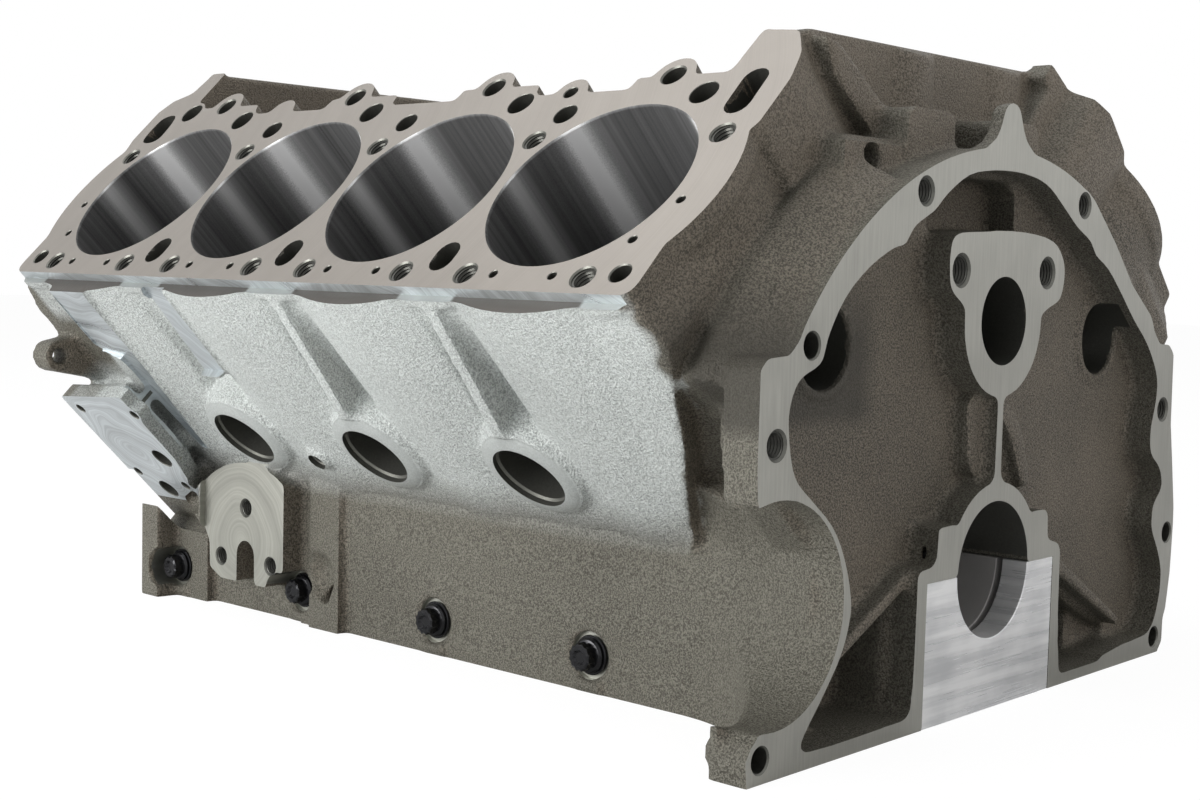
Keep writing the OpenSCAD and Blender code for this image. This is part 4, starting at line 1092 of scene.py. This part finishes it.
class BLOCK_OT_threads(bpy.types.Operator):
    """Threads in the tapped holes that can be seen"""

    bl_idname = "block.threads"
    bl_label = "Threads"

    def execute(self, context):
        sizes, mats = context.scene.block_sizes, block_finishes(context.scene.block_colours)
        depth, pitch = sizes.thread_depth * 1000, sizes.thread_pitch * 1000
        # Placement, inner radius, top and length of each thread
        spots = [(rear_place(x, z), BELL_BOLT_R, -1.4, 16) for x, z in BELL_TAPPED]
        spots += [(rear_place(x, z), CAM_PLATE_BOLT_R, -1.4, 24) for x, z in CAM_PLATE_HOLES]
        head_bolts = outer_bolts() + middle_bolts()
        spots += [(deck_place(-1, v, t), HEAD_BOLT_R, DECK_H - 1.2, 12) for v, t in head_bolts]
        for y, z in MOUNT_HOLES:
            spots.append((MM @ aim((0, MOUNT_Y + y, z), (-1, 0, 0)), SMALL_BOLT_R, MOUNT_X - 1, 14))
        spots.append((flank_place(-1, *BOSS_HOLE), SMALL_BOLT_R, 85.4, 14))
        bm = bmesh.new()
        for place, minor, top, length in spots:
            rings = int(length / pitch)
            profile = [(minor + depth + 0.5, top)]
            for i in range(rings):
                profile += [(minor, top - pitch * (i + 0.25)), (minor + depth, top - pitch * (i + 0.75))]
            profile += [(minor + depth + 0.5, top - pitch * (rings + 0.1))]
            turned(bm, place, profile, 20)
        finished(mesh_object("threads", bm, 50), [mats["thread_steel"]])
        return {"FINISHED"}


class BLOCK_OT_caps(bpy.types.Operator):
    """Main bearing caps and seal retainer with eased edges"""

    bl_idname = "block.caps"
    bl_label = "Caps"

    def execute(self, context):
        mats = block_finishes(context.scene.block_colours)
        names = [f"main_cap_{k}" for k in range(1, 5)] + ["main_cap_rear", "rear_seal_retainer"]
        for name in names:
            bm = merged_copy(name)
            bmesh.ops.dissolve_limit(bm, angle_limit=math.radians(1), verts=bm.verts, edges=bm.edges)
            piece = mesh_object(name + "_finished", bm, 30)
            soft = piece.modifiers.new("soft", "BEVEL")
            soft.width = 0.0006
            soft.segments = 2
            soft.limit_method = "ANGLE"
            soft.angle_limit = math.radians(40)
            soft.harden_normals = True
            alloy = name == "rear_seal_retainer"
            material = mats["retainer_milled" if alloy else "cap_iron"]
            finished(piece, [material], [name])
        return {"FINISHED"}


def flanged_bolt(bm, place, length, shank):
    """Twelve-point flanged bolt; shank up along z, underside of the flange at 0"""
    profile = [(0, length), (shank - 0.8, length), (shank, length - 1), (shank, 0), (9.3, 0)]
    turned(bm, place, profile + [(9.6, -0.4), (9.6, -1.4), (8.6, -2.6), (7.2, -3), (0, -3)], 48)
    point_r, valley_share, head_height = 7.55, 0.89, 6.2
    foot = place @ Matrix.Translation((0, 0, -2.6))
    ring = bmesh.ops.create_circle(bm, cap_ends=True, segments=24, radius=point_r, matrix=foot)["verts"]
    middle = place @ Vector((0, 0, -2.6))
    for v in ring[1::2]:
        v.co = middle + (v.co - middle) * valley_share
    drop = place.to_3x3() @ Vector((0, 0, -1))
    grown = bmesh.ops.extrude_face_region(bm, geom=[ring[0].link_faces[0]], use_keep_orig=True)
    tops = [g for g in grown["geom"] if isinstance(g, bmesh.types.BMVert)]
    bmesh.ops.translate(bm, verts=tops, vec=drop * head_height)
    top = next(f for f in tops[0].link_faces if all(v in tops for v in f.verts))
    for depth, inset in ((0.7, 1.0), (0, 1.6), (-1.4, 1.2)):
        bmesh.ops.inset_region(bm, faces=[top], thickness=inset * 0.001, depth=0, use_even_offset=True)
        bmesh.ops.translate(bm, verts=list(top.verts), vec=drop * depth)
    bmesh.ops.recalc_face_normals(bm, faces=list(bm.faces))


def washer(bm, place, radius, hole):
    """Flat washer with eased edges, 2.5 mm thick"""
    outside = [(radius - 0.4, 0), (radius, 0.4), (radius, 2.1), (radius - 0.4, 2.5)]
    turned(bm, place, [(hole, 0.3), (hole + 0.3, 0), *outside, (hole, 2.5)], 48)


class BLOCK_OT_bolts(bpy.types.Operator):
    """Flanged bolts and washers of the main bearing caps, and the bolts of the retainer"""

    bl_idname = "block.bolts"
    bl_label = "Bolts and washers"

    def execute(self, context):
        oxide = block_finishes(context.scene.block_colours)["black_oxide"]
        for key in ["1", "2", "3", "4", "rear"]:
            y = REAR_CAP_Y if key == "rear" else MAIN_Y[int(key)]
            bolts, washers = bmesh.new(), bmesh.new()
            for s in (-1, 1):
                place = MM @ Matrix.Translation((s * 46, y, -63.5))
                flanged_bolt(bolts, place, 90, 6.35)
                washer(washers, place, 10.6, 6.75)
            fitted("main_bolts_" + key, bolts, oxide)
            fitted("main_washers_" + key, washers, oxide)
        for k in range(1, 5):
            face = skirt_face(k) - 3
            bolts, washers = bmesh.new(), bmesh.new()
            for s in (-1, 1):
                place = MM @ aim((s * face, MAIN_Y[k], CROSS_BOLT_Z), (-s, 0, 0))
                place = place @ Matrix.Translation((0, 0, -2.5))
                flanged_bolt(bolts, place, face - CAP_HALF + 13.5, 4.75)
                washer(washers, place, 10.8, 5.15)
            fitted(f"cross_bolts_{k}", bolts, oxide)
            fitted(f"cross_washers_{k}", washers, oxide)
        bolts = bmesh.new()
        shank = [(0, 87), (3.4, 87), (3.95, 86.2), (3.95, 8)]
        head = [(5.9, 8), (6.3, 7.6), (6.3, 0.6), (5.7, 0)]
        socket = [(4.2, 0), (3.5, 0.8), (3.5, 4.6), (0, 5.2)]
        for s in (-1, 1):
            turned(bolts, MM @ Matrix.Translation((s * 52, 7.5, -73)), shank + head + socket, 36)
        fitted("retainer_bolts", bolts, oxide)
        return {"FINISHED"}


# Stage


class BLOCK_OT_stage(bpy.types.Operator):
    """Pale floor, soft lamps and the camera"""

    bl_idname = "block.stage"
    bl_label = "Stage"

    def execute(self, context):
        scene = context.scene
        scene.view_settings.view_transform = "Standard"
        bm = bmesh.new()
        ground = Matrix.Translation((0, 0, RAIL_Z * 0.001))
        bmesh.ops.create_grid(bm, x_segments=1, y_segments=1, size=8, matrix=ground)
        floor = mesh_object("floor", bm)
        f = Finish("floor_paper")
        path = f.node("ShaderNodeLightPath")
        paper = f.node("ShaderNodeBsdfDiffuse", None, {"Color": (0.93, 0.93, 0.93, 1)})["BSDF"]
        glow = f.node("ShaderNodeEmission", None, {"Color": (1, 1, 1, 1), "Strength": 1.05})["Emission"]
        share = path["Is Camera Ray"] * FLOOR_GLOW
        f.node(
            "ShaderNodeOutputMaterial", None,
            {"Surface": f.node("ShaderNodeMixShader", None, {0: share, 1: paper, 2: glow})["Shader"]},
        )
        floor.data.materials.append(f.material)
        for name, spot, target, power, wide, high in (
            ("lamp_left", (-2.2, 0.9, 0.35), (-0.1, 0.28, 0.1), 52, 1.8, 0.8),
            ("lamp_top", (-0.5, 0.9, 2.4), (0, 0.28, 0.1), 24, 2.4, 1.6),
            ("lamp_rear", (0.6, -2.4, 0.9), (0, 0.1, 0.1), 12, 1.2, 1.4),
        ):
            data = bpy.data.lights.new(name, "AREA")
            data.shape = "RECTANGLE"
            data.size, data.size_y = wide, high
            data.energy = power
            lamp = bpy.data.objects.new(name, data)
            lamp.location = spot
            lamp.rotation_euler = (Vector(target) - Vector(spot)).to_track_quat("-Z", "Y").to_euler()
            scene.collection.objects.link(lamp)
        world = bpy.data.worlds.new("studio")
        world.use_nodes = True
        scene.world = world
        # The world is white where it is seen and mirrored, and lights the block more softly
        n = Nodes(world.node_tree)
        path = n.node("ShaderNodeLightPath")
        seen = path["Is Camera Ray"]
        for ray in ("Is Glossy Ray", "Is Transmission Ray"):
            seen = seen.sum("MAXIMUM", seen, path[ray])
        dim = n.node("ShaderNodeBackground", None, {"Strength": 0.35})[0]
        white = n.node("ShaderNodeBackground", None, {"Color": (1, 1, 1, 1), "Strength": 1.0})[0]
        mix = n.node("ShaderNodeMixShader", None, {0: seen, 1: dim, 2: white})[0]
        n.node("ShaderNodeOutputWorld", None, {"Surface": mix})
        azimuth, height, roll = (math.radians(angle) for angle in CAMERA_ANGLES)
        level = math.cos(height)
        back = Vector((math.sin(azimuth) * level, -math.cos(azimuth) * level, math.sin(height)))
        right = (-back).cross(Vector((0, 0, 1))).normalized()
        up = right.cross(-back)
        side = math.cos(roll) * right + math.sin(roll) * up
        top = -math.sin(roll) * right + math.cos(roll) * up
        data = bpy.data.cameras.new("camera")
        data.sensor_width = 36
        data.lens = CAMERA_LENS
        data.clip_start = 0.01
        camera = bpy.data.objects.new("camera", data)
        place = Matrix((side, top, back)).transposed().to_4x4()
        place.translation = Vector(CAMERA_PLACE)
        camera.matrix_world = place
        scene.collection.objects.link(camera)
        scene.camera = camera
        return {"FINISHED"}


class BLOCK_PT_panel(bpy.types.Panel):
    """Sizes, colours and steps of the engine block"""

    bl_idname = "BLOCK_PT_panel"
    bl_label = "Engine block"
    bl_space_type = "VIEW_3D"
    bl_region_type = "UI"
    bl_category = "Engine block"

    def draw(self, context):
        layout = self.layout
        for group in (context.scene.block_sizes, context.scene.block_colours):
            box = layout.box()
            for key in group.__annotations__:
                box.prop(group, key)
        for step in STEPS:
            layout.operator(step.bl_idname)


STEPS = [BLOCK_OT_casting, BLOCK_OT_bores, BLOCK_OT_threads, BLOCK_OT_caps, BLOCK_OT_bolts, BLOCK_OT_stage]
CLASSES = [BlockSizes, BlockColours, *STEPS, BLOCK_PT_panel]


def register():
    for item in CLASSES:
        bpy.utils.register_class(item)
    bpy.types.Scene.block_sizes = bpy.props.PointerProperty(type=BlockSizes)
    bpy.types.Scene.block_colours = bpy.props.PointerProperty(type=BlockColours)


def unregister():
    del bpy.types.Scene.block_sizes
    del bpy.types.Scene.block_colours
    for item in reversed(CLASSES):
        bpy.utils.unregister_class(item)


def main():
    register()
    bpy.ops.block.casting()
    bpy.ops.block.bores()
    bpy.ops.block.threads()
    bpy.ops.block.caps()
    bpy.ops.block.bolts()
    bpy.ops.block.stage()


if __name__ == "__main__":
    main()
